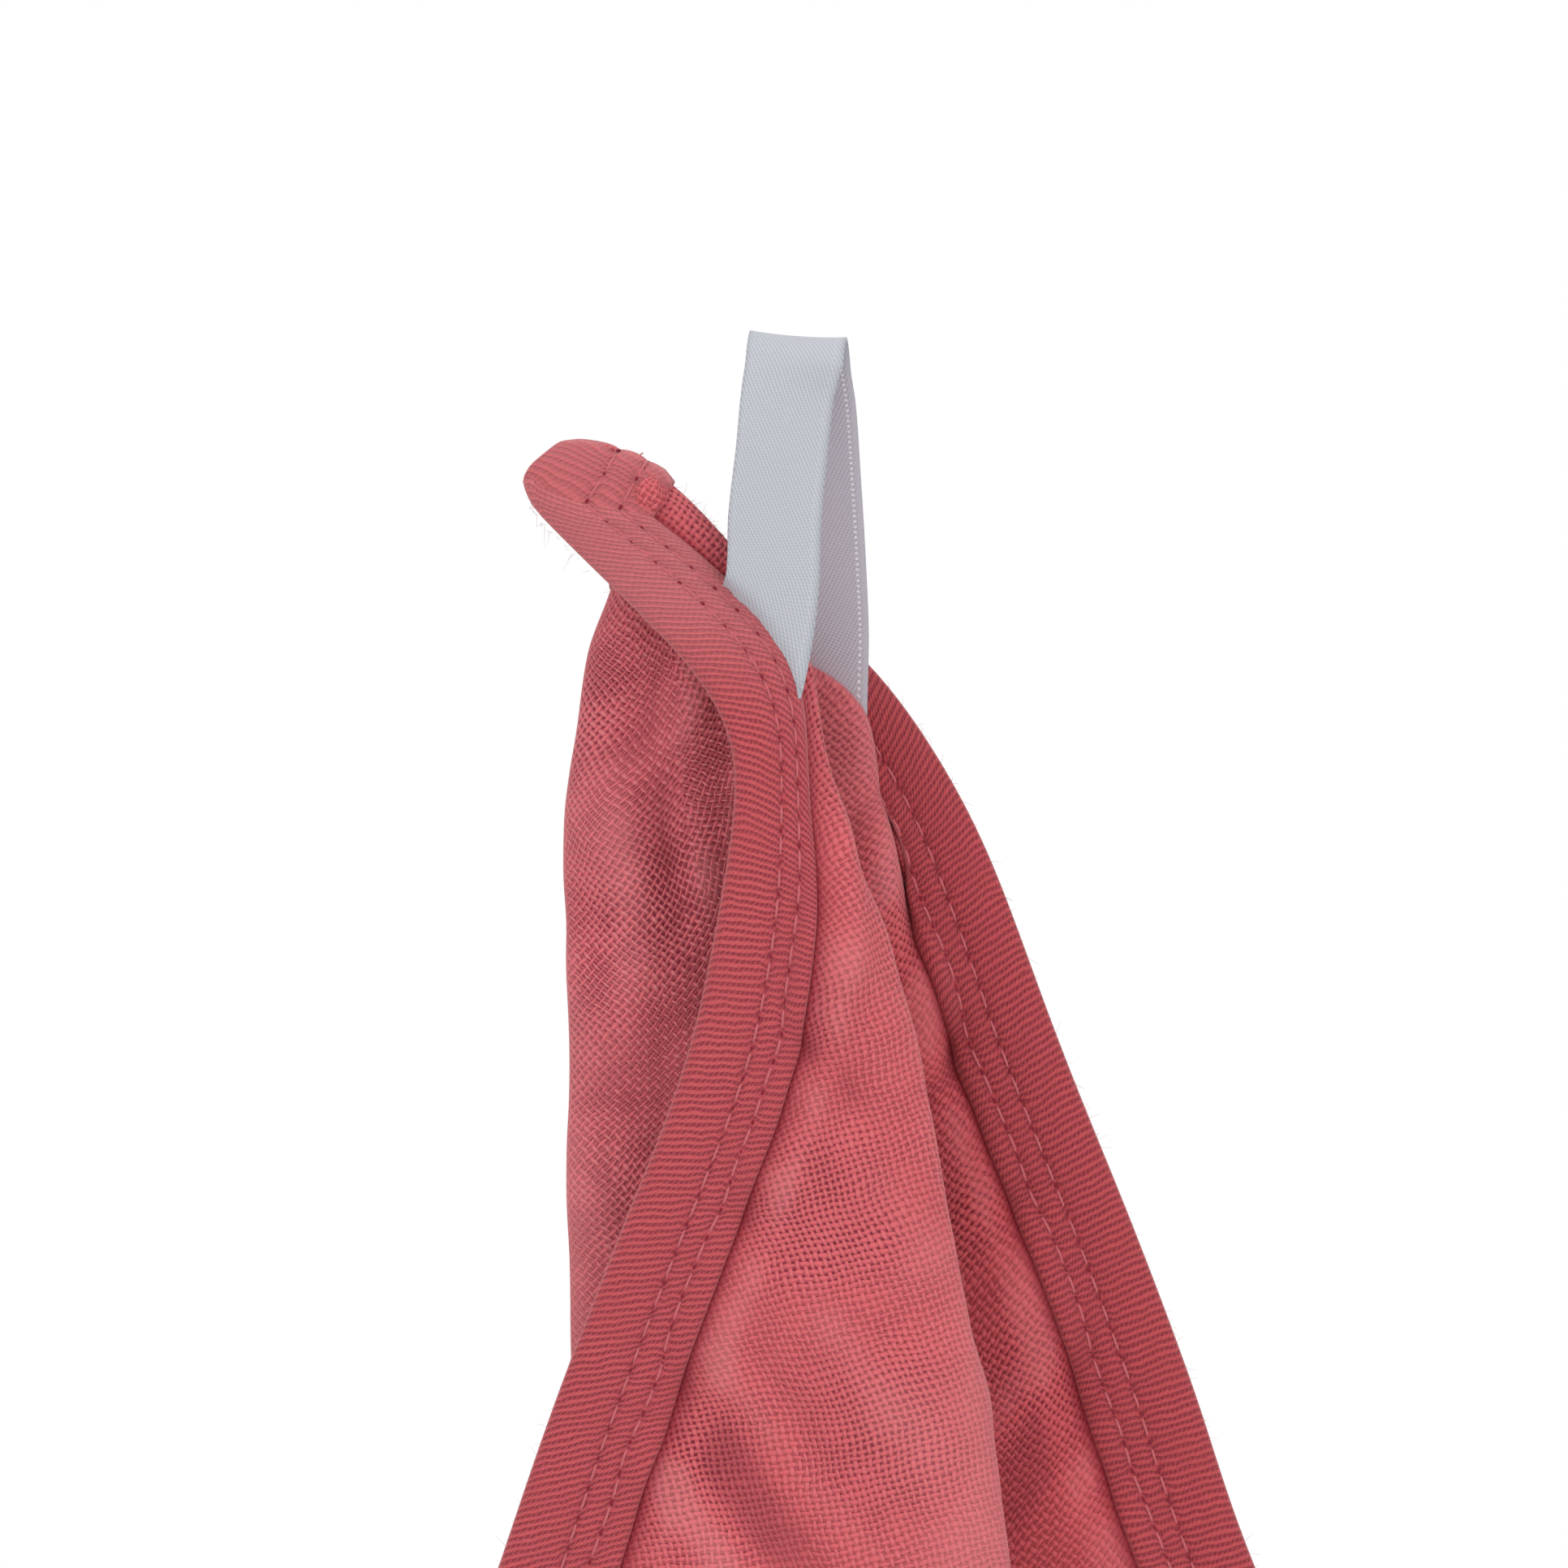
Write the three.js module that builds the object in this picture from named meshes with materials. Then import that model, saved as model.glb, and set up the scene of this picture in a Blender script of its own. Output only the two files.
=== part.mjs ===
// A muslin kerchief bib for a baby, hanging by the ribbon loop at one of its two neck tabs.
// Millimetres, +Z up. The origin is the inside of the loop's top, where it lies on a hook.
import * as THREE from "three";

// The hung cloth
const hangLength = 365; // from the loop's seat to the far tab
const sideReach = 80; // the scale of the sideways shares
const foldDepth = 12; // the scale of the front-to-back shares
const panelThickness = 0.5; // one double-gauze panel
const panelGap = 0.3; // between the two panels
const clearance = 0.3; // between pieces that touch

// The binding, a jersey tape folded round the edge
const bindingWidth = 10.5;
const bindingThickness = 0.7;
const bindingNose = 0.7; // how far the outside of the tape's fold bulges past its flaps
const cutEdgeRoom = 0.4; // from the panels' cut edge to the inside of the tape's fold

// The seam threads
const threadWidth = 0.5;
const threadHeight = 0.35;
const coverWidth = 1.8;

// The ribbon loop
const ribbonWidth = 9.6;
const ribbonThickness = 0.4;
const hookRadius = 4.4; // of the bend over the hook
const footSlope = 8.6; // how much lower the foot's right corner is than its left one
// The middles of its feet, on the same scales as the drape: [sideways, drop], and the depth
const frontFootShares = [[-0.045, 0.0863], -0.975];
const backFootShares = [[0.05, 0.0986], 0.633];
const bendSteps = 10;
const legSteps = 5;

// The touch closure's pads
const padThickness = 1;
const padThreadInset = 1.6;

// Rows down the hung cloth, from the near tab's end to the far tab's end. Each row holds the front
// edge, the front fold, the rear fold and the far edge as [sideways, drop] shares, and then the depths
// of the front, middle and rear layers and of the far edge.
const rowShares = [
  [[-0.344, 0.0418], [-0.305, 0.0331], [-0.274, 0.045], [-0.2, 0.047], -0.75, -0.083, 0.5, 0.7],
  [[-0.253, 0.0651], [-0.193, 0.0345], [-0.253, 0.0687], [-0.12, 0.0605], -0.833, -0.125, 0.583, 1],
  [[-0.165, 0.0856], [-0.096, 0.0623], [-0.276, 0.0868], [0, 0.0781], -0.833, -0.167, 0.5, 1.083],
  [[-0.096, 0.1062], [0.016, 0.0879], [-0.3, 0.1119], [0.099, 0.0943], -0.833, -0.208, 0.458, 1],
  [[-0.077, 0.1256], [0.042, 0.1256], [-0.318, 0.1336], [0.203, 0.1317], -0.833, -0.25, 0.417, 0.75],
  [[-0.087, 0.161], [0.114, 0.161], [-0.327, 0.161], [0.257, 0.161], -0.833, -0.25, 0.375, 0.583],
  [[-0.125, 0.2021], [0.168, 0.2021], [-0.318, 0.2021], [0.324, 0.2021], -0.833, -0.25, 0.375, 0.5],
  [[-0.213, 0.2523], [0.212, 0.2523], [-0.308, 0.2523], [0.416, 0.2523], -0.833, -0.208, 0.417, 0.5],
  [[-0.289, 0.2957], [0.241, 0.2957], [-0.298, 0.2957], [0.49, 0.2957], -0.833, -0.167, 0.5, 0.5],
  [[-0.368, 0.3463], [0.266, 0.3463], [-0.292, 0.3463], [0.568, 0.3463], -0.917, -0.167, 0.583, 0.5],
  [[-0.525, 0.4521], [0.35, 0.4521], [-0.312, 0.4521], [0.787, 0.4521], -1, -0.167, 0.667, 0.5],
  [[-0.625, 0.5562], [0.45, 0.5562], [-0.35, 0.5562], [0.988, 0.5562], -1.083, -0.167, 0.75, 0.583],
  [[-0.675, 0.6575], [0.475, 0.6575], [-0.338, 0.6575], [1.012, 0.6575], -1.083, -0.167, 0.833, 0.667],
  [[-0.662, 0.7534], [0.338, 0.7534], [-0.338, 0.7534], [0.75, 0.7534], -1, -0.167, 0.75, 0.667],
  [[-0.625, 0.8438], [0.113, 0.8438], [-0.362, 0.8438], [0.4, 0.8438], -0.917, -0.167, 0.667, 0.583],
  [[-0.562, 0.9233], [-0.113, 0.9233], [-0.4, 0.9233], [0.05, 0.9233], -0.833, -0.167, 0.583, 0.5],
  [[-0.525, 0.9699], [-0.212, 0.9699], [-0.412, 0.9699], [-0.113, 0.9699], -0.75, -0.125, 0.5, 0.417],
  [[-0.475, 0.9986], [-0.275, 0.9986], [-0.4, 0.9986], [-0.2, 0.9986], -0.7, -0.083, 0.417, 0.333],
];

// The cells of the cloth's grid: the outermost ring of them carries the binding
const bindingCells = 2;
const closeRows = 10; // the rows of the table that are cut finer than those below them
const closeRowCells = 2;
const foldReachShare = 1.3; // a fold's shoulders, as a share of its depth
const shoulderLimitShare = 0.4; // and the most of the way to the next crest
const crestBindingShare = 0.75; // and of the cloth from the edge to the nearest crest
const shoulderRoomShare = 0.35; // the least of the free cloth before a crest that stays flat
const crestEaseShare = 0.2;
const narrowBindingShare = 0.28; // the most of a row that the binding takes on each side
const curveSamples = 40;
const relaxTurns = 8;
const relaxShare = 0.5;
const relaxedRows = 16;
const relaxFade = 6;

const panelColour = "#cf5c66";
const bindingColour = "#bb4a55";
const threadColour = "#e58d92";
const ribbonColour = "#d3d7de";
const padColour = "#c25660";

function material(colour, roughness) {
  return new THREE.MeshStandardMaterial({ color: colour, roughness, metalness: 0 });
}

// A point of the drape from its shares.
function drapePoint([sideShare, dropShare], depthShare) {
  return new THREE.Vector3(sideShare * sideReach, depthShare * foldDepth, -dropShare * hangLength);
}

// The shoulders and the crest of a fold that turns from one layer into the next.
function foldPoints(crest, before, after, depthBefore, depthAfter) {
  const roundReach = (Math.abs(depthAfter - depthBefore) * foldDepth * foldReachShare) / 2;
  const shoulder = (other, depth) => {
    const from = drapePoint(crest, depth);
    const towards = drapePoint(other, depth).sub(from);
    const reach = Math.min(roundReach, towards.length() * shoulderLimitShare);
    return from.addScaledVector(towards.normalize(), reach);
  };
  return [
    shoulder(before, depthBefore),
    drapePoint(crest, (depthBefore + depthAfter) / 2),
    shoulder(after, depthAfter),
  ];
}

// The greater of two values, without a corner where they are equal.
function easedMax(a, b, ease) {
  return (a + b + Math.hypot(a - b, ease)) / 2;
}

// The columns of one end of a row, as lengths of cloth from its edge: the binding's cells, and then
// the free cloth up to the crest of the nearest fold.
function endPlaces(shoulder, shoulderHalf, crest, total) {
  const band = Math.min(bindingWidth, narrowBindingShare * total, crestBindingShare * crest);
  const free = crest - band;
  const ease = free * crestEaseShare;
  const turn = easedMax(shoulder, band + free * shoulderRoomShare, ease);
  const halfTurn = easedMax(shoulderHalf, (turn + crest) / 2, ease * crestEaseShare);
  const places = [];
  for (let k = 0; k < bindingCells; k++) places.push((band * k) / bindingCells);
  return [...places, band, (band + turn) / 2, turn, Math.min(halfTurn, (turn + 3 * crest) / 4), crest];
}

// The keys of a row's curve at the front fold's shoulder and crest and at the rear fold's crest and
// shoulder, and those of the columns between the crests
const foldKeys = [2, 3, 7, 8];
const middleKeys = [3.5, 4, 4.5, 5.5, 6, 6.5];

// One row of the cloth: a curve from the front edge round both folds to the far edge, cut into
// columns that keep the binding's width at both ends and follow the crests of the folds.
function rowPoints([edge, frontFold, rearFold, farEdge, front, middle, rear, far]) {
  const halfway = (a, b) => [(a[0] + b[0]) / 2, (a[1] + b[1]) / 2];
  const keys = [
    drapePoint(edge, front),
    drapePoint(halfway(edge, frontFold), front),
    ...foldPoints(frontFold, edge, rearFold, front, middle),
    drapePoint(halfway(frontFold, rearFold), middle),
    ...foldPoints(rearFold, frontFold, farEdge, middle, rear),
    drapePoint(halfway(rearFold, farEdge), (rear + far) / 2),
    drapePoint(farEdge, far),
  ];
  const curve = new THREE.CatmullRomCurve3(keys, false, "centripetal");
  const spans = keys.length - 1;
  curve.arcLengthDivisions = curveSamples * spans;
  const lengths = curve.getLengths();
  const total = lengths.at(-1);
  const reached = (key) => lengths[Math.round(key * curveSamples)];
  const left = (key) => total - reached(key);
  const [frontShoulder, frontCrest, rearCrest, rearShoulder] = foldKeys;
  const fromEdge = endPlaces(
    reached(frontShoulder),
    reached((frontShoulder + frontCrest) / 2),
    reached(frontCrest),
    total,
  );
  const fromFarEdge = endPlaces(
    left(rearShoulder),
    left((rearShoulder + rearCrest) / 2),
    left(rearCrest),
    total,
  );
  const places = [
    ...fromEdge,
    ...middleKeys.map(reached),
    ...fromFarEdge.map((place) => total - place).toReversed(),
  ];
  return places.map((place) => curve.getPointAt(place / total));
}

// The whole grid of the cloth's middle surface, smooth down each column.
function drapeGrid() {
  const rows = rowShares.map(rowPoints);
  const cells = rows.slice(1).map((_, k) => {
    if (k === 0 || k === rows.length - 2) return bindingCells;
    return k < closeRows ? closeRowCells : 1;
  });
  const columns = rows[0].map(
    (_, j) => new THREE.CatmullRomCurve3(rows.map((row) => row[j]), false, "centripetal"),
  );
  const grid = [rows[0].map((p) => p.clone())];
  cells.forEach((count, k) => {
    for (let part = 1; part <= count; part++) {
      const t = (k + part / count) / cells.length;
      grid.push(columns.map((column) => column.getPoint(t)));
    }
  });
  return grid;
}

// Draws each point of the near tab towards the middle of its neighbours, which evens out its cells.
// The points of an edge keep to that edge, and the tab's two corners stay.
function relaxedTab(grid) {
  const right = grid[0].length - 1;
  return grid.map((row, i) =>
    row.map((here, j) => {
      if (i >= relaxedRows) return here.clone();
      const around = [];
      if (i > 0) around.push(grid[i - 1][j], grid[i + 1][j]);
      if (j > 0 && j < right) around.push(row[j - 1], row[j + 1]);
      if (around.length === 0) return here.clone();
      const middle = around.reduce((sum, p) => sum.add(p), new THREE.Vector3());
      const share = relaxShare * Math.min((relaxedRows - i) / relaxFade, 1);
      return here.clone().lerp(middle.divideScalar(around.length), share);
    }),
  );
}

let grid = drapeGrid();
for (let k = 0; k < relaxTurns; k++) grid = relaxedTab(grid);
const lastRow = grid.length - 1;
const lastColumn = grid[0].length - 1;

// The unit normal of the middle surface at a grid point, on the side that the stitches show.
function gridNormal(i, j) {
  const at = (r, c) =>
    grid[THREE.MathUtils.clamp(r, 0, lastRow)][THREE.MathUtils.clamp(c, 0, lastColumn)];
  const down = at(i + 1, j).clone().sub(at(i - 1, j));
  const across = at(i, j + 1).clone().sub(at(i, j - 1));
  return down.cross(across).normalize();
}

const normals = grid.map((row, i) => row.map((_, j) => gridNormal(i, j)));

// The direction in the cloth that leads out over its edge, or zero away from the edge.
function outwards(i, j) {
  const out = new THREE.Vector3();
  const here = grid[i][j];
  if (i === 0) out.add(here.clone().sub(grid[1][j]).normalize());
  if (i === lastRow) out.add(here.clone().sub(grid[lastRow - 1][j]).normalize());
  if (j === 0) out.add(here.clone().sub(grid[i][1]).normalize());
  if (j === lastColumn) out.add(here.clone().sub(grid[i][lastColumn - 1]).normalize());
  return out.lengthSq() > 0 ? out.normalize() : out;
}

// A grid point moved off the middle surface, and past the edge where it is an edge point.
function liftedPoint(i, j, height, past = 0) {
  return grid[i][j]
    .clone()
    .addScaledVector(normals[i][j], height)
    .addScaledVector(outwards(i, j), past);
}

// A place between grid points, lifted off the surface, with the normal there.
function surfacePoint(row, column, height) {
  const i = Math.min(Math.floor(row), lastRow - 1);
  const j = Math.min(Math.floor(column), lastColumn - 1);
  const blend = (table) => {
    const upper = table[i][j].clone().lerp(table[i][j + 1], column - j);
    const lower = table[i + 1][j].clone().lerp(table[i + 1][j + 1], column - j);
    return upper.lerp(lower, row - i);
  };
  const normal = blend(normals).normalize();
  return { point: blend(grid).addScaledVector(normal, height), normal };
}

// Collects triangles of shared vertices into one closed geometry.
class Surface {
  constructor() {
    this.points = [];
    this.faces = [];
    this.index = new Map();
  }
  vertex(key, make) {
    if (!this.index.has(key)) {
      this.index.set(key, this.points.length);
      this.points.push(make());
    }
    return this.index.get(key);
  }
  quad(a, b, c, d) {
    this.faces.push(a, b, c, a, c, d);
  }
  geometry() {
    const made = new THREE.BufferGeometry().setFromPoints(this.points);
    made.setIndex(this.faces);
    made.computeVertexNormals();
    return made;
  }
}

// The edges of a cell, each named by its two corners and the cell across it.
function cellEdges(i, j) {
  return [
    [[i, j], [i + 1, j], [i, j - 1]],
    [[i + 1, j], [i + 1, j + 1], [i + 1, j]],
    [[i + 1, j + 1], [i, j + 1], [i, j + 1]],
    [[i, j + 1], [i, j], [i - 1, j]],
  ];
}

function inGrid(i, j) {
  return i >= 0 && j >= 0 && i < lastRow && j < lastColumn;
}

// A cloth panel: the whole grid as a sheet between two heights.
function panelGeometry(low, high) {
  const sheet = new Surface();
  const at = ([i, j], height) =>
    sheet.vertex(`${i},${j},${height}`, () => liftedPoint(i, j, height));
  for (let i = 0; i < lastRow; i++) {
    for (let j = 0; j < lastColumn; j++) {
      const corners = [[i, j], [i + 1, j], [i + 1, j + 1], [i, j + 1]];
      sheet.quad(...corners.map((c) => at(c, high)));
      sheet.quad(...corners.toReversed().map((c) => at(c, low)));
      for (const [a, b, across] of cellEdges(i, j)) {
        if (!inGrid(...across)) sheet.quad(at(b, high), at(a, high), at(a, low), at(b, low));
      }
    }
  }
  return sheet.geometry();
}

// The binding: both flaps of the tape over the outer ring of cells, joined round the cloth's edge.
function bindingGeometry(inside, outside) {
  const tape = new Surface();
  const inRing = (i, j) =>
    inGrid(i, j) &&
    (i < bindingCells ||
      j < bindingCells ||
      i >= lastRow - bindingCells ||
      j >= lastColumn - bindingCells);
  const at = ([i, j], height) =>
    tape.vertex(`${i},${j},${height}`, () => liftedPoint(i, j, height, cutEdgeRoom));
  const nose = ([i, j]) =>
    tape.vertex(`${i},${j},nose`, () => liftedPoint(i, j, 0, cutEdgeRoom + bindingNose));
  for (let i = 0; i < lastRow; i++) {
    for (let j = 0; j < lastColumn; j++) {
      if (!inRing(i, j)) continue;
      const corners = [[i, j], [i + 1, j], [i + 1, j + 1], [i, j + 1]];
      const back = corners.toReversed();
      tape.quad(...corners.map((c) => at(c, outside)));
      tape.quad(...back.map((c) => at(c, inside)));
      tape.quad(...corners.map((c) => at(c, -inside)));
      tape.quad(...back.map((c) => at(c, -outside)));
      for (const [a, b, across] of cellEdges(i, j)) {
        if (inRing(...across)) continue;
        if (inGrid(...across)) {
          tape.quad(at(b, outside), at(a, outside), at(a, inside), at(b, inside));
          tape.quad(at(b, -inside), at(a, -inside), at(a, -outside), at(b, -outside));
        } else {
          tape.quad(at(b, outside), at(a, outside), nose(a), nose(b));
          tape.quad(nose(b), nose(a), at(a, -outside), at(b, -outside));
          tape.quad(at(a, inside), at(b, inside), at(b, -inside), at(a, -inside));
        }
      }
    }
  }
  return tape.geometry();
}

// A flat-sided strip through stations, each a point with its normal; closed strips join their ends.
function stripGeometry(stations, width, height, closed) {
  const strip = new Surface();
  const count = stations.length;
  const corner = (k, side, top) => {
    const wrapped = (k + count) % count;
    return strip.vertex(`${wrapped},${side},${top}`, () => {
      const before = stations[closed ? (wrapped - 1 + count) % count : Math.max(wrapped - 1, 0)];
      const after = stations[closed ? (wrapped + 1) % count : Math.min(wrapped + 1, count - 1)];
      const { point, normal } = stations[wrapped];
      const along = after.point.clone().sub(before.point).normalize();
      const sideways = along.cross(normal).normalize();
      return point
        .clone()
        .addScaledVector(sideways, (side * width) / 2)
        .addScaledVector(normal, top * height);
    });
  };
  const ring = [[-1, 0], [1, 0], [1, 1], [-1, 1]];
  const spans = closed ? count : count - 1;
  for (let k = 0; k < spans; k++) {
    ring.forEach((here, n) => {
      const next = ring[(n + 1) % ring.length];
      strip.quad(corner(k, ...here), corner(k + 1, ...here), corner(k + 1, ...next), corner(k, ...next));
    });
  }
  if (!closed) {
    strip.quad(...ring.map((c) => corner(0, ...c)));
    strip.quad(...ring.toReversed().map((c) => corner(count - 1, ...c)));
  }
  return strip.geometry();
}

// The stations of a seam that runs round a rectangle of the grid, from its rows and columns.
function seamStations(top, bottom, left, right, height) {
  const places = [];
  const between = (from, to) => {
    const inner = [];
    for (let k = Math.floor(from) + 1; k < to; k++) inner.push(k);
    return [from, ...inner];
  };
  between(left, right).forEach((c) => places.push([top, c]));
  between(top, bottom).forEach((r) => places.push([r, right]));
  between(left, right).map((c) => left + right - c).forEach((c) => places.push([bottom, c]));
  between(top, bottom).map((r) => top + bottom - r).forEach((r) => places.push([r, left]));
  return places.map(([r, c]) => surfacePoint(r, c, height));
}

// A seam right round the bib, so many cells in from its edge.
function edgeSeam(cellsIn, height) {
  return seamStations(cellsIn, lastRow - cellsIn, cellsIn, lastColumn - cellsIn, height);
}

// A pad of the touch closure over part of the grid.
function padGeometry(rows, columns, lower, upper) {
  const pad = new Surface();
  const at = (a, b, height) =>
    pad.vertex(`${a},${b},${height}`, () => surfacePoint(rows[a], columns[b], height).point);
  const lastA = rows.length - 1;
  const lastB = columns.length - 1;
  for (let a = 0; a < lastA; a++) {
    for (let b = 0; b < lastB; b++) {
      const corners = [[a, b], [a + 1, b], [a + 1, b + 1], [a, b + 1]];
      pad.quad(...corners.map((c) => at(...c, upper)));
      pad.quad(...corners.toReversed().map((c) => at(...c, lower)));
      for (const [p, q, [across, over]] of cellEdges(a, b)) {
        const inside = across >= 0 && over >= 0 && across < lastA && over < lastB;
        if (!inside) pad.quad(at(...q, upper), at(...p, upper), at(...p, lower), at(...q, lower));
      }
    }
  }
  return pad.geometry();
}

// The ribbon: down the front leg's line, over the hook and down the back leg's, as one flat strip.
function ribbonGeometry() {
  const bendRadius = hookRadius + ribbonThickness / 2;
  const path = [];
  const leg = (footShares, side) => {
    const top = new THREE.Vector3(0, side * bendRadius, -hookRadius);
    const foot = drapePoint(...footShares);
    const stations = [];
    for (let k = 0; k <= legSteps; k++) {
      const t = k / legSteps;
      const { x, y, z } = top.clone().lerp(foot, t);
      stations.push({ x, y, z, slope: footSlope * t, normal: new THREE.Vector3(0, side, 0) });
    }
    return stations;
  };
  path.push(...leg(frontFootShares, -1).toReversed());
  for (let k = 1; k < bendSteps; k++) {
    const angle = Math.PI * (k / bendSteps);
    const normal = new THREE.Vector3(0, -Math.cos(angle), Math.sin(angle));
    path.push({
      x: 0,
      y: normal.y * bendRadius,
      z: -hookRadius + normal.z * bendRadius,
      slope: 0,
      normal,
    });
  }
  path.push(...leg(backFootShares, 1));
  const ribbon = new Surface();
  const corner = (k, side, top) =>
    ribbon.vertex(`${k},${side},${top}`, () => {
      const { x, y, z, slope, normal } = path[k];
      return new THREE.Vector3(x + (side * ribbonWidth) / 2, y, z - (side * slope) / 2).addScaledVector(
        normal,
        (top - 1 / 2) * ribbonThickness,
      );
    });
  const ring = [[-1, 0], [1, 0], [1, 1], [-1, 1]];
  for (let k = 0; k < path.length - 1; k++) {
    ring.forEach((here, n) => {
      const next = ring[(n + 1) % ring.length];
      ribbon.quad(corner(k, ...here), corner(k + 1, ...here), corner(k + 1, ...next), corner(k, ...next));
    });
  }
  ribbon.quad(...ring.map((c) => corner(0, ...c)));
  ribbon.quad(...ring.toReversed().map((c) => corner(path.length - 1, ...c)));
  return ribbon.geometry();
}

const panelFace = panelGap / 2 + panelThickness;
const bindingInside = panelFace + clearance;
const bindingOutside = bindingInside + bindingThickness;
const seamHeight = bindingOutside + clearance;
const padFace = panelFace + clearance;
const outerSeamCells = 1;
const innerSeamCells = 1.55;
const coverSeamCells = 1.3;

// The pads lie between the rear fold and the far edge: the hook pad on the hanging tab's rear face,
// the loop pad on the far tab's front face
const nearPadRows = [3, 4, 5, 6];
const farPadRows = [lastRow - 4.5, lastRow - 4, lastRow - 3, lastRow - 2.3];
const padColumns = [12.6, 13, 14, 15, 15.6];
const seamInsetCells = padThreadInset / bindingWidth;

function padSeam(rows, height) {
  return seamStations(
    rows[0] + seamInsetCells,
    rows.at(-1) - seamInsetCells,
    padColumns[0] + seamInsetCells,
    padColumns.at(-1) - seamInsetCells,
    height,
  );
}

const bib = new THREE.Group();

function addPiece(parent, name, geometry, colour, roughness) {
  const mesh = new THREE.Mesh(geometry, material(colour, roughness));
  mesh.name = name;
  parent.add(mesh);
}

const cloth = new THREE.Group();
const seamBase = -seamHeight - threadHeight;
const padTop = padFace + padThickness + clearance;
addPiece(cloth, "front_gauze_panel", panelGeometry(panelGap / 2, panelFace), panelColour, 0.95);
addPiece(cloth, "back_gauze_panel", panelGeometry(-panelFace, -panelGap / 2), panelColour, 0.95);
addPiece(cloth, "jersey_binding", bindingGeometry(bindingInside, bindingOutside), bindingColour, 0.9);
addPiece(
  cloth,
  "outer_needle_thread",
  stripGeometry(edgeSeam(outerSeamCells, seamHeight), threadWidth, threadHeight, true),
  threadColour,
  0.7,
);
addPiece(
  cloth,
  "inner_needle_thread",
  stripGeometry(edgeSeam(innerSeamCells, seamHeight), threadWidth, threadHeight, true),
  threadColour,
  0.7,
);
addPiece(
  cloth,
  "cover_thread",
  stripGeometry(edgeSeam(coverSeamCells, seamBase), coverWidth, threadHeight, true),
  threadColour,
  0.7,
);
addPiece(
  cloth,
  "hook_pad",
  padGeometry(nearPadRows, padColumns, -padFace - padThickness, -padFace),
  padColour,
  0.8,
);
addPiece(
  cloth,
  "loop_pad",
  padGeometry(farPadRows, padColumns, padFace, padFace + padThickness),
  padColour,
  0.9,
);
addPiece(
  cloth,
  "hook_pad_thread",
  stripGeometry(padSeam(nearPadRows, -padTop - threadHeight), threadWidth, threadHeight, true),
  threadColour,
  0.7,
);
addPiece(
  cloth,
  "loop_pad_thread",
  stripGeometry(padSeam(farPadRows, padTop), threadWidth, threadHeight, true),
  threadColour,
  0.7,
);
bib.add(cloth);
addPiece(bib, "hanger_ribbon", ribbonGeometry(), ribbonColour, 0.6);

export default bib;
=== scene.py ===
import math

import bpy
import numpy as np
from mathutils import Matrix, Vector


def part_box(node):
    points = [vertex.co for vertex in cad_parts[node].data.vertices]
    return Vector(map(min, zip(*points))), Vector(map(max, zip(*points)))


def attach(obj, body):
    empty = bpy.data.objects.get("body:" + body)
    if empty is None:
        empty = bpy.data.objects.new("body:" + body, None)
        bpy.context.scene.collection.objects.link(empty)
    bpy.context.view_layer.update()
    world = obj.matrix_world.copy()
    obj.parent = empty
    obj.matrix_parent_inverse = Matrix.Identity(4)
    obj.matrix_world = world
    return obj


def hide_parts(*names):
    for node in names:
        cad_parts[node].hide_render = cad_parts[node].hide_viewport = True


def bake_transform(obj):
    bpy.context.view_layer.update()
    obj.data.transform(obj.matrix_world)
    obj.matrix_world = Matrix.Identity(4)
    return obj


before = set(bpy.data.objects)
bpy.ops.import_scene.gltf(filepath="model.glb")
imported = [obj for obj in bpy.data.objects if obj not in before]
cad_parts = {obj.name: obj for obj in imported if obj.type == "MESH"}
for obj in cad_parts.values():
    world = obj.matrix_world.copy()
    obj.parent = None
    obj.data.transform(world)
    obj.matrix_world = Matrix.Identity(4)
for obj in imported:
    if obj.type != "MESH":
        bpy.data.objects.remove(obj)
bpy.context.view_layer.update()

# Every length below is in millimetres until a mesh is made from it.
METRES = 0.001

# The hung cloth, as in the part's source
HANG_LENGTH = 365
SIDE_REACH = 80
FOLD_DEPTH = 12
BINDING_WIDTH = 10.5

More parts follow.
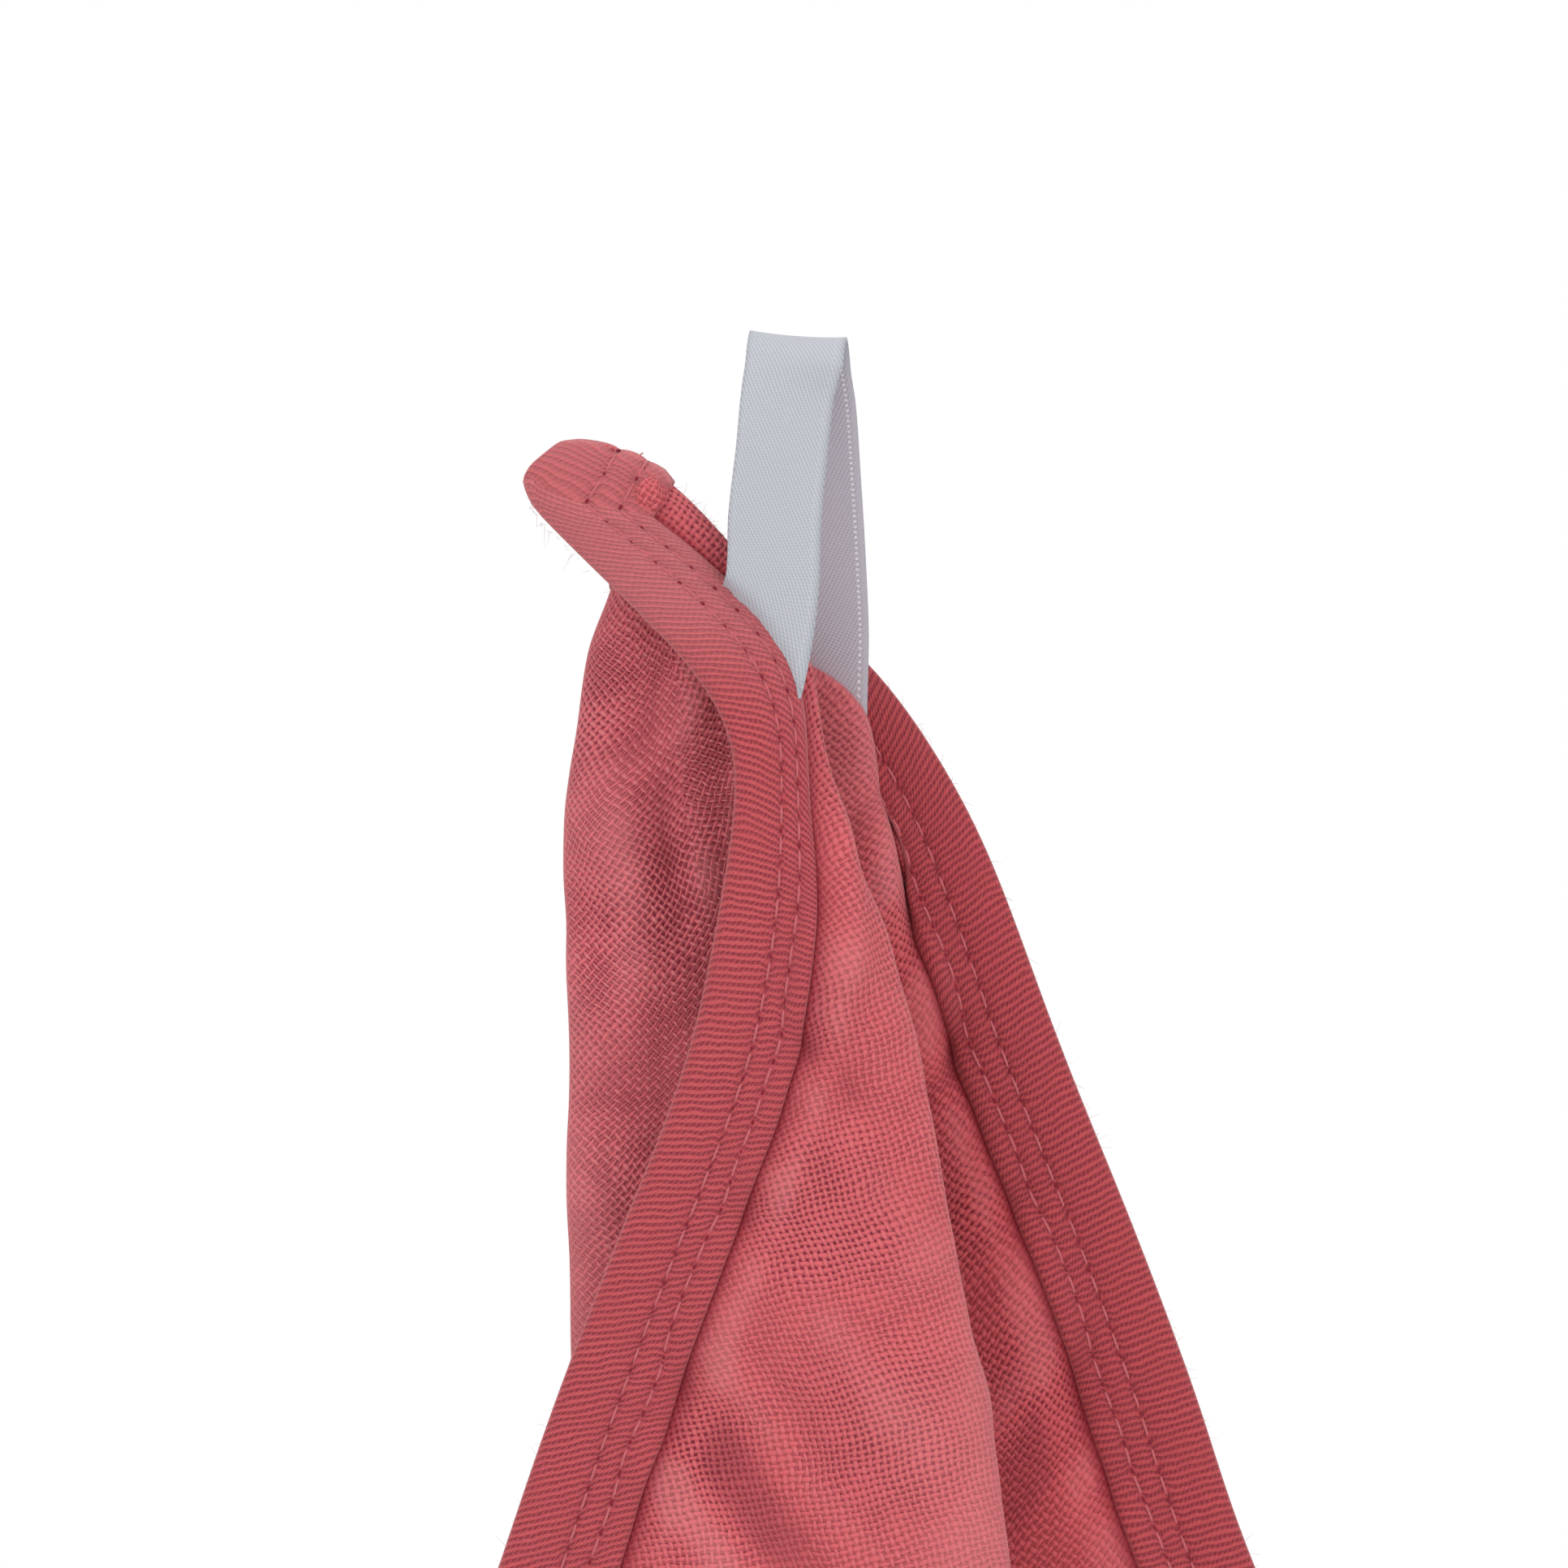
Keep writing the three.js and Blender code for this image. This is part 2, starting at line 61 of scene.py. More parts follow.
# Rows down the cloth: where the front edge, front fold, rear fold and far edge lie as shares of the
# reach; their drops as shares of the length, one number where all four are level; and the depths of
# the front, middle and rear layers and of the far edge, as shares of the folds' depth
ROWS = [
    ((-0.354, -0.292, -0.23, -0.2), (0.0432, 0.0335, 0.045, 0.047), (-0.75, -0.083, 0.5, 0.7)),
    ((-0.253, -0.19, -0.212, -0.12), (0.0651, 0.0345, 0.0687, 0.0605), (-0.833, -0.125, 0.583, 1)),
    ((-0.148, -0.088, -0.28, 0), (0.0856, 0.0623, 0.0868, 0.0781), (-0.833, -0.167, 0.5, 1.083)),
    ((-0.074, 0.014, -0.3, 0.099), (0.1062, 0.0879, 0.1119, 0.0943), (-0.833, -0.208, 0.458, 1)),
    ((-0.064, 0.016, -0.318, 0.203), (0.1256, 0.1256, 0.1336, 0.1317), (-0.833, -0.25, 0.417, 0.75)),
    ((-0.087, 0.106, -0.327, 0.257), 0.161, (-0.833, -0.25, 0.375, 0.583)),
    ((-0.125, 0.168, -0.318, 0.324), 0.2021, (-0.833, -0.25, 0.375, 0.5)),
    ((-0.213, 0.212, -0.308, 0.416), 0.2523, (-0.833, -0.208, 0.417, 0.5)),
    ((-0.289, 0.241, -0.298, 0.49), 0.2957, (-0.833, -0.167, 0.5, 0.5)),
    ((-0.368, 0.266, -0.292, 0.568), 0.3463, (-0.917, -0.167, 0.583, 0.5)),
    ((-0.525, 0.35, -0.312, 0.787), 0.4521, (-1, -0.167, 0.667, 0.5)),
    ((-0.625, 0.45, -0.35, 0.988), 0.5562, (-1.083, -0.167, 0.75, 0.583)),
    ((-0.675, 0.475, -0.338, 1.012), 0.6575, (-1.083, -0.167, 0.833, 0.667)),
    ((-0.662, 0.338, -0.338, 0.75), 0.7534, (-1, -0.167, 0.75, 0.667)),
    ((-0.625, 0.113, -0.362, 0.4), 0.8438, (-0.917, -0.167, 0.667, 0.583)),
    ((-0.562, -0.113, -0.4, 0.05), 0.9233, (-0.833, -0.167, 0.583, 0.5)),
    ((-0.525, -0.212, -0.412, -0.113), 0.9699, (-0.75, -0.125, 0.5, 0.417)),
    ((-0.475, -0.275, -0.4, -0.2), 0.9986, (-0.7, -0.083, 0.417, 0.333)),
]


def unit(vectors):
    return vectors / np.linalg.norm(vectors, axis=-1, keepdims=True)


def rise(value, start, length, least=0.0):
    """From least up to 1, over a length that begins at start."""
    return np.clip((value - start) / length, least, 1)


def bell(value, width):
    return np.exp(-((value / width) ** 2))


def reach_along(points):
    """How far along a line each of its points lies."""
    return np.concatenate([[0], np.cumsum(np.linalg.norm(np.diff(points, axis=0), axis=1))])


def catmull(points, t):
    """Points at t (0 to 1) of a centripetal Catmull-Rom curve through points."""
    pts = np.asarray(points, float)
    n = len(pts) - 1
    t = np.atleast_1d(np.asarray(t, float)) * n
    k = np.clip(np.floor(t).astype(int), 0, n - 1)
    w = (t - k)[:, None]
    ext = np.vstack([2 * pts[0] - pts[1], pts, 2 * pts[-1] - pts[-2]])
    p0, p1, p2, p3 = ext[k], ext[k + 1], ext[k + 2], ext[k + 3]
    step = lambda a, b: np.maximum(np.sum((b - a) ** 2, axis=1), 1e-12)[:, None] ** 0.25
    d0, d1, d2 = step(p0, p1), step(p1, p2), step(p2, p3)
    t1 = ((p1 - p0) / d0 - (p2 - p0) / (d0 + d1) + (p2 - p1) / d1) * d1
    t2 = ((p2 - p1) / d1 - (p3 - p1) / (d1 + d2) + (p3 - p2) / d2) * d1
    a, b = 2 * p1 - 2 * p2 + t1 + t2, -3 * p1 + 3 * p2 - 2 * t1 - t2
    return ((a * w + b) * w + t1) * w + p1


def drape_point(share, depth):
    return np.array([share[0] * SIDE_REACH, depth * FOLD_DEPTH, -share[1] * HANG_LENGTH])


FOLD_ROUND = 0.65  # how far a fold's turn reaches, as a share of its depth
FOLD_MOST = 0.4  # and at most as a share of the way to the next key point


def fold_points(crest, before, after, depth_before, depth_after):
    reach_round = abs(depth_after - depth_before) * FOLD_DEPTH * FOLD_ROUND

    def shoulder(other, depth):
        start = drape_point(crest, depth)
        way = drape_point(other, depth) - start
        length = np.linalg.norm(way)
        return start + way / length * min(reach_round, length * FOLD_MOST)

    return [
        shoulder(before, depth_before),
        drape_point(crest, (depth_before + depth_after) / 2),
        shoulder(after, depth_after),
    ]


CURVE_SAMPLES = 40
BAND_CELLS = 8
FREE_CELLS = 22
MIDDLE_CELLS = 34
COLUMN_CELLS = [BAND_CELLS, FREE_CELLS, MIDDLE_CELLS, FREE_CELLS + 4, BAND_CELLS]

# The front binding looks narrower where it twists near the ribbon: its width at each row's drop
BAND_AT = [0.045, 0.068, 0.086, 0.106, 0.126, 0.16]
BAND = [8.0, 8.6, 9.7, 10.2, 10.3, BINDING_WIDTH]
BAND_SHARE = 0.28  # no binding takes more of a row than this
FIRST_FOLD, SECOND_FOLD = 3, 7  # places of both crests among a row's key points


def row_points(row):
    """One row of the cloth in columns: binding, free cloth, both folds and back to the far edge."""
    sideways, drops, (front, middle, rear, far) = row
    edge, fold1, fold2, far_edge = zip(sideways, np.broadcast_to(drops, 4))
    half = lambda a, b: ((a[0] + b[0]) / 2, (a[1] + b[1]) / 2)
    keys = [
        drape_point(edge, front),
        drape_point(half(edge, fold1), front),
        *fold_points(fold1, edge, fold2, front, middle),
        drape_point(half(fold1, fold2), middle),
        *fold_points(fold2, fold1, far_edge, middle, rear),
        drape_point(half(fold2, far_edge), (rear + far) / 2),
        drape_point(far_edge, far),
    ]
    spans = len(keys) - 1
    t = np.linspace(0, 1, CURVE_SAMPLES * spans + 1)
    curve = catmull(keys, t)
    reach = reach_along(curve)
    total = reach[-1]
    crest1, crest2 = reach[FIRST_FOLD * CURVE_SAMPLES], reach[SECOND_FOLD * CURVE_SAMPLES]
    band = min(np.interp(edge[1], BAND_AT, BAND), BAND_SHARE * total, 0.9 * crest1)
    far_band = min(BINDING_WIDTH, BAND_SHARE * total, 0.75 * (total - crest2))
    anchors = [0, band, crest1, crest2, total - far_band, total]
    places = [0.0]
    for a, b, cells in zip(anchors, anchors[1:], COLUMN_CELLS):
        places += [a + (b - a) * (k + 1) / cells for k in range(cells)]
    return np.stack([np.interp(places, reach, curve[:, c]) for c in range(3)], axis=1)


def smooth_grid(grid, turns, share):
    """Draws each point towards its neighbours' middle; share is one number or one per row."""
    share = np.broadcast_to(np.asarray(share, float), (grid.shape[0],))[:, None, None]
    for _ in range(turns):
        near = grid.copy()
        near[1:-1, 1:-1] = (grid[:-2, 1:-1] + grid[2:, 1:-1] + grid[1:-1, :-2] + grid[1:-1, 2:]) / 4
        near[1:-1, [0, -1]] = (grid[:-2, [0, -1]] + grid[2:, [0, -1]]) / 2
        near[[0, -1], 1:-1] = (grid[[0, -1], :-2] + grid[[0, -1], 2:]) / 2
        grid = grid + (near - grid) * share
    return grid


# The grid is finer above a height, and smoothed most at the top
ROW_STEP_NEAR, ROW_STEP_FAR, NEAR_ABOVE = 1.25, 2.2, -140
SMOOTH_FROM, SMOOTH_OVER = -95, 45


def drape_grid():
    rows = np.array([row_points(row) for row in ROWS])
    places = [0.0]
    for k in range(len(ROWS) - 1):
        drop = np.linalg.norm(rows[k + 1] - rows[k], axis=1).mean()
        step = ROW_STEP_NEAR if rows[k, :, 2].mean() > NEAR_ABOVE else ROW_STEP_FAR
        cells = max(6, round(drop / step))
        places += [k + (n + 1) / cells for n in range(cells)]
    t = np.array(places) / (len(ROWS) - 1)
    grid = np.stack([catmull(rows[:, j], t) for j in range(rows.shape[1])], axis=1)
    top = rise(grid[:, :, 2].mean(axis=1), SMOOTH_FROM, SMOOTH_OVER)
    grid = smooth_grid(grid, 50, 0.5 * top)
    return smooth_grid(grid, 6, 0.5)



def value_noise(x, y, seed):
    """Smooth value noise from -1 to 1 over x and y, one cell to a unit."""
    table = np.random.RandomState(seed).uniform(-1, 1, (64, 64))
    xi, yi = np.floor(x).astype(int), np.floor(y).astype(int)
    fx, fy = x - xi, y - yi
    fx, fy = fx * fx * (3 - 2 * fx), fy * fy * (3 - 2 * fy)
    at = lambda a, b: table[a % 64, b % 64]
    low = at(xi, yi) * (1 - fx) + at(xi + 1, yi) * fx
    high = at(xi, yi + 1) * (1 - fx) + at(xi + 1, yi + 1) * fx
    return low * (1 - fy) + high * fy


def grid_normals(grid):
    down = np.gradient(grid, axis=0)
    across = np.gradient(grid, axis=1)
    return unit(np.cross(down, across))


def lengths_along(grid, axis):
    steps = np.linalg.norm(np.diff(grid, axis=axis), axis=2)
    out = np.zeros(grid.shape[:2])
    if axis == 1:
        out[:, 1:] = np.cumsum(steps, axis=1)
    else:
        out[1:] = np.cumsum(steps, axis=0)
    return out


GRID = drape_grid()
ROW_COUNT, COLUMN_COUNT = GRID.shape[:2]
ACROSS = lengths_along(GRID, 1)  # from the front edge
DOWN = lengths_along(GRID, 0)
FROM_FAR = ACROSS[:, -1:] - ACROSS
CREST1 = BAND_CELLS + FREE_CELLS
CREST2 = CREST1 + MIDDLE_CELLS
MIDDLE_COLUMN = (CREST1 + CREST2) // 2
FROM_CREST1 = ACROSS - ACROSS[:, CREST1:CREST1 + 1]
FROM_CREST2 = ACROSS - ACROSS[:, CREST2:CREST2 + 1]

# Soft wrinkles of crinkled gauze: their size across and down, seed and height
SOFT_WRINKLES = [(13, 11, 3, 0.63), (6.5, 5, 5, 0.245)]
PUCKER_HEIGHT = 2.9
PUCKER_REACH = 13  # how far the seams' pull runs into the cloth
WAVE_HEIGHT = 1.2
CREASE_HEIGHT = 1.5  # on the layer between both folds
PUFF_HEIGHT = 0.9  # beside the bindings, 3.2 mm past their inner edge

def wrinkled(grid):
    """The drape with the soft wrinkles of crinkled gauze, and puckers that run in from the seams."""
    edge_near = np.minimum(ACROSS, FROM_FAR)
    free = rise(edge_near, 7, 4)
    soft = sum(value_noise(ACROSS / a, DOWN / d, seed) * high for a, d, seed, high in SOFT_WRINKLES)
    pull = np.exp(-np.clip(edge_near - 9, 0, None) / PUCKER_REACH)
    slant = np.where(ACROSS < FROM_FAR, -0.95, -0.55) * edge_near
    puckers = value_noise((DOWN + slant) / 4.4, edge_near / 30, 11) * PUCKER_HEIGHT * pull
    waves = value_noise((DOWN - 0.8 * edge_near) / 8.5, edge_near / 26, 17) * WAVE_HEIGHT
    tab = rise(DOWN, 20, 25, 0.12)
    upper = rise(grid[:, :, 2], -66, 14)
    calm = np.clip(1 - 0.65 * bell(FROM_CREST2, 9) - 0.8 * upper * bell(FROM_CREST1, 6), 0.1, 1)
    puff = PUFF_HEIGHT * bell(beyond_band() - 3.2, 1.5) * tab
    place = (np.arange(COLUMN_COUNT) - CREST1) / MIDDLE_CELLS
    inner = np.sin(math.pi * np.clip(place, 0, 1))[None, :] * rise(DOWN, 14, 14)
    creases = value_noise((FROM_CREST1 - 0.45 * DOWN) / 5.2, (DOWN + FROM_CREST1) / 19, 29)
    lift = (soft + (puckers + waves) * tab) * free * calm + puff + creases * inner * CREASE_HEIGHT
    return grid + grid_normals(grid) * lift[:, :, None]


def beyond_band():
    """How far each point lies past the inner edge of the nearer binding."""
    near = ACROSS - ACROSS[:, BAND_CELLS:BAND_CELLS + 1]
    far = FROM_FAR - FROM_FAR[:, -1 - BAND_CELLS:-BAND_CELLS]
    return np.minimum(near, far)


def sampled(grid, rows, columns):
    """The grid at fractional rows and columns."""
    rows = np.clip(rows, 0, grid.shape[0] - 1.0001)
    columns = np.clip(columns, 0, grid.shape[1] - 1.0001)
    i, j = np.floor(rows).astype(int), np.floor(columns).astype(int)
    a, b = (rows - i)[..., None], (columns - j)[..., None]
    upper = grid[i, j] * (1 - b) + grid[i, j + 1] * b
    lower = grid[i + 1, j] * (1 - b) + grid[i + 1, j + 1] * b
    return upper * (1 - a) + lower * a


def rounded_corners(grid, near_radius, far_radius):
    """Draws the cloth in at its four corners, so that its outline turns there in an arc."""
    rows = np.arange(ROW_COUNT)[:, None] * np.ones((1, COLUMN_COUNT))
    columns = np.arange(COLUMN_COUNT)[None, :] * np.ones((ROW_COUNT, 1))
    for down, radius, row_way in ((DOWN, near_radius, 1), (DOWN[-1:] - DOWN, far_radius, -1)):
        for across, column_way in ((ACROSS, 1), (FROM_FAR, -1)):
            c1, c2 = radius - across, radius - down
            inside = (c1 > 0) & (c2 > 0)
            most, both = np.maximum(c1, c2), np.hypot(c1, c2) + 1e-9
            share = np.where(inside, most / both, 1)
            row_step = np.gradient(down, axis=0) * row_way
            column_step = np.gradient(across, axis=1) * column_way
            rows = rows + np.where(inside, c2 * (1 - share) / row_step, 0) * row_way
            columns = columns + np.where(inside, c1 * (1 - share) / column_step, 0) * column_way
    return sampled(grid, rows, columns)


# Where the gauze hangs over the far binding: heights, and how far it reaches sideways at each; and
# the share of that, and of the way forwards, at the columns before the binding
OVERHANG_AT = [-150, -88, -75, -62, -54, -48, -43, -38.5, -36, -34.3, -32, -29]
OVERHANG = [0.5, 0.9, 1.5, 2.2, 3.8, 5.6, 8.0, 10.2, 10.0, 9.0, 5.2, 0.8]
OVERHANG_SIDEWAYS = [0.02, 0.06, 0.12, 0.2, 0.29, 0.39, 0.5, 0.61,
                     0.72, 0.82, 0.91, 0.98, 1, 0.93, 0.72, 0.36]
OVERHANG_FORWARDS = [0, 0.02, 0.05, 0.1, 0.18, 0.28, 0.4, 0.53,
                     0.66, 0.78, 0.88, 0.95, 0.9, 0.6, 0.2, -0.05]
OVERHANG_DEEPEST = 3.0


def with_overhang(grid):
    count = len(OVERHANG_SIDEWAYS)
    first = COLUMN_COUNT - BAND_CELLS - count
    span = slice(first, first + count)
    reach = np.interp(grid[:, span, 2], OVERHANG_AT, OVERHANG)
    reach[grid[:, span, 2] < OVERHANG_AT[0]] = 0
    grid = grid.copy()
    grid[:, span, 0] += reach * np.array(OVERHANG_SIDEWAYS)
    grid[:, span, 1] -= np.minimum(reach * 1.1, OVERHANG_DEEPEST) * np.array(OVERHANG_FORWARDS)
    return grid


def ridge_tones():
    """How far each point stands out from the cloth around it, towards its front face."""
    around = smooth_grid(GRID, 14, 0.8)
    return np.sum((GRID - around) * grid_normals(GRID), axis=2)


GRID = wrinkled(GRID)
# The muslin paints the ridges paler, as painted highlights, and the hollows darker, as painted shade
RIDGES = ridge_tones()
SEAM_SHADE = np.exp(-np.clip(beyond_band(), 0, None))
# Painted light and shade on the rear layer: painted paler towards the top and deeper further down
REAR_LIGHT_AND_SHADE = rise(-GRID[:, :, 2], 45, 30) - rise(GRID[:, :, 2], -60, 16)
REAR_LIGHT_AND_SHADE = REAR_LIGHT_AND_SHADE * (np.arange(COLUMN_COUNT) > MIDDLE_COLUMN)[None, :]
TAB_CORNER, LOW_CORNER = 3.6, 9
GRID = with_overhang(GRID)
GRID = rounded_corners(GRID, TAB_CORNER, LOW_CORNER)
GRID = smooth_grid(GRID, 2, 0.5)
NORMALS = grid_normals(GRID)
ACROSS = lengths_along(GRID, 1)
FROM_FAR = ACROSS[:, -1:] - ACROSS



def make_object(name, points, faces, uvs=None):
    """A mesh object from millimetre points. uvs maps a layer name to one (u, v) per face corner."""
    mesh = bpy.data.meshes.new(name)
    mesh.from_pydata([tuple(p) for p in np.asarray(points) * METRES], [], [tuple(f) for f in faces])
    for layer, values in (uvs or {}).items():
        data = mesh.uv_layers.new(name=layer)
        data.data.foreach_set("uv", np.asarray(values, dtype=np.float32).ravel())
    mesh.polygons.foreach_set("use_smooth", [True] * len(mesh.polygons))
    mesh.update()
    obj = bpy.data.objects.new(name, mesh)
    bpy.context.scene.collection.objects.link(obj)
    return obj


def grid_faces(rows, columns, offset=0, flip=False):
    i, j = np.meshgrid(np.arange(rows - 1), np.arange(columns - 1), indexing="ij")
    a = (i * columns + j).ravel() + offset
    quads = np.stack([a, a + columns, a + columns + 1, a + 1], axis=1)
    return quads[:, ::-1] if flip else quads


def border_loop(rows, columns):
    """The indices of a grid's border, anticlockwise as seen with rows down and columns across."""
    down = [i * columns for i in range(rows)]
    right = [(rows - 1) * columns + j for j in range(1, columns)]
    up = [i * columns + columns - 1 for i in range(rows - 2, -1, -1)]
    left = list(range(columns - 2, 0, -1))
    return down + right + up + left


def closed_faces(rows, columns):
    """The faces of two grids of points, top and bottom, and of the rim between them."""
    count = rows * columns
    border = np.array(border_loop(rows, columns))
    after = np.roll(border, -1)
    rim = np.stack([after, border, border + count, after + count], axis=1)
    return np.vstack([grid_faces(rows, columns), grid_faces(rows, columns, count, True), rim])


def sheet_object(name, grid, normals, low, high, coordinates, tone=None):
    """A closed sheet between two heights over the grid's middle surface."""
    count = grid.shape[0] * grid.shape[1]
    top = (grid + normals * high).reshape(-1, 3)
    bottom = (grid + normals * low).reshape(-1, 3)
    faces = closed_faces(*grid.shape[:2])
    layers = {"cloth": coordinates(faces % count)}
    # tone carries masks for painted light and shade: the ridges' painted highlights and shade, the seams'
    # painted shadow and the rear layer's painted light and shade
    if tone is not None:
        layers["tone"] = np.stack([t.ravel()[faces % count] for t in tone[:2]], axis=-1)
        layers["place"] = np.stack([t.ravel()[faces % count] for t in tone[1:]], axis=-1)
    return make_object(name, np.vstack([top, bottom]), faces, layers)


def turned(u, v, degrees):
    c, s = math.cos(math.radians(degrees)), math.sin(math.radians(degrees))
    return np.stack([u * c - v * s, u * s + v * c], axis=-1)


def weave_coordinates(front_turn, rear_turn):
    """The cloth's own millimetres at each face corner, turned to the yarns of each layer."""
    u1 = (ACROSS - ACROSS[:, CREST1:CREST1 + 1]).ravel()
    u2 = (ACROSS - ACROSS[:, CREST2:CREST2 + 1]).ravel()
    v = DOWN.ravel()

    def at(corners):
        first = (corners % COLUMN_COUNT).min(axis=1) < MIDDLE_COLUMN
        front = turned(u1[corners], v[corners], front_turn)
        rear = turned(u2[corners], v[corners], rear_turn)
        return np.where(first[:, None, None], front, rear)

    return at


PANEL_THICKNESS = 0.5
PANEL_GAP = 0.3
PANEL_FACE = PANEL_GAP / 2 + PANEL_THICKNESS

front_panel = sheet_object(
    "front_gauze", GRID, NORMALS, PANEL_GAP / 2, PANEL_FACE, weave_coordinates(8, 40),
    (RIDGES, SEAM_SHADE, REAR_LIGHT_AND_SHADE)
)
back_panel = sheet_object(
    "back_gauze", GRID, NORMALS, -PANEL_FACE, -PANEL_GAP / 2, weave_coordinates(-45, -45),
    (-RIDGES, SEAM_SHADE, 0 * REAR_LIGHT_AND_SHADE)
)


def nearest_point(x, z, columns):
    """The grid's point, among the first columns, that lies nearest to x and z as seen from the front."""
    part = GRID[:, :columns]
    return part.reshape(-1, 3)[np.hypot(part[:, :, 0] - x, part[:, :, 2] - z).argmin()]


KNOT_HALVES = [1.6, 1.15, 1.9]
KNOT_TURN = math.radians(28)


def caught_fold():
    """The small ball of gauze that the binding's end has caught beside the tab's seam."""
    rings, around = 22, 40
    a = np.linspace(0.02, math.pi - 0.02, rings)[:, None]
    b = np.linspace(0, 2 * math.pi, around + 1)[None, :]
    shape = np.stack([np.sin(a) * np.cos(b), np.sin(a) * np.sin(b), np.cos(a) + 0 * b], axis=-1)
    crease = 1 + 0.09 * np.sin(5 * b + 3 * np.cos(a)) * np.sin(a)
    crease += 0.06 * np.sin(9 * b + 1.3) * np.sin(a) ** 2
    x, y, z = np.moveaxis(shape * crease[:, :, None] * np.array(KNOT_HALVES), 2, 0)
    c, s = math.cos(KNOT_TURN), math.sin(KNOT_TURN)
    seat = nearest_point(-15.2, -16.7, CREST1)
    points = np.stack([x * c + z * s, y, -x * s + z * c], axis=-1) + seat + np.array([0, -1.2, 0])
    faces = grid_faces(rings, around + 1)
    u, v = KNOT_HALVES[0] * b + 0 * a, KNOT_HALVES[2] * a + 0 * b
    flat = np.stack([u.ravel()[faces], v.ravel()[faces]], axis=-1)
    plain = np.zeros(flat.shape)
    layers = {"cloth": flat, "tone": plain, "place": plain}
    return make_object("caught_gauze_fold", points.reshape(-1, 3), faces, layers)


caught = caught_fold()


END_BAND = 9  # width of the binding across the top and the low end


def rows_near(down):
    """The row that lies nearest to the end band's width from an end, by the distances to that end."""
    return int(np.argmin(abs(down[:, COLUMN_COUNT // 2] - END_BAND)))


BAND_TOP = rows_near(DOWN)
BAND_LOW = ROW_COUNT - 1 - rows_near(DOWN[-1:] - DOWN)

# Height of the tape's face over its panel across its width, from the edge inwards: a full round
# edge, two seam valleys with a narrow ridge between them, and the folded-in inner edge
PROFILE_AT = [0, 0.12, 0.3, 0.42, 0.47, 0.52, 0.6, 0.68, 0.73, 0.78, 0.88, 1.0]
PROFILE = [0.75, 1.15, 1.15, 0.95, 0.62, 0.85, 0.95, 0.85, 0.6, 0.85, 0.95, 0.5]


def surface_at(row, column, height):
    """Points over the middle surface at fractional rows and columns, and the normals there."""
    normal = unit(sampled(NORMALS, row, column))
    return sampled(GRID, row, column) + normal * np.asarray(height)[..., None], normal


def ring_path(share):
    """Fractional rows and columns of the line round the cloth at a share of the binding's width,
    sampled evenly along its length, with how far along each lies."""
    top, low = share * BAND_TOP, ROW_COUNT - 1 - share * BAND_LOW
    left, right = share * BAND_CELLS, COLUMN_COUNT - 1 - share * BAND_CELLS
    rows = np.linspace(top, low, 1400)
    columns = np.linspace(left, right, 500)
    path = np.vstack([
        np.stack([rows, np.full_like(rows, left)], axis=1)[:-1],
        np.stack([np.full_like(columns, low), columns], axis=1)[:-1],
        np.stack([rows[::-1], np.full_like(rows, right)], axis=1)[:-1],
        np.stack([np.full_like(columns, top), columns[::-1]], axis=1),
    ])
    points, _ = surface_at(path[:, 0], path[:, 1], np.zeros(len(path)))
    return path, reach_along(points)


def on_path(path, reach, places):
    """The rows and the columns at some distances along a path."""
    index = np.interp(places, reach, np.arange(len(reach)))
    return [np.interp(index, np.arange(len(path)), path[:, n]) for n in range(2)]


STATION_STEP = 0.8
OUTER_REACH = ring_path(0.0)[1]
EDGE_LENGTH = OUTER_REACH[-1]
STATIONS = int(EDGE_LENGTH / STATION_STEP)
PLACES = np.linspace(0, EDGE_LENGTH, STATIONS, endpoint=False)
TAPE_BASE = PANEL_FACE + 0.05  # the binding lies just over the panels
TAPE_HEIGHT = 0.75  # share of the profile's heights that it takes
TAPE_PAST = 0.4  # how far the round edge stands past the cloth's edge
NOSE_STEPS = 8


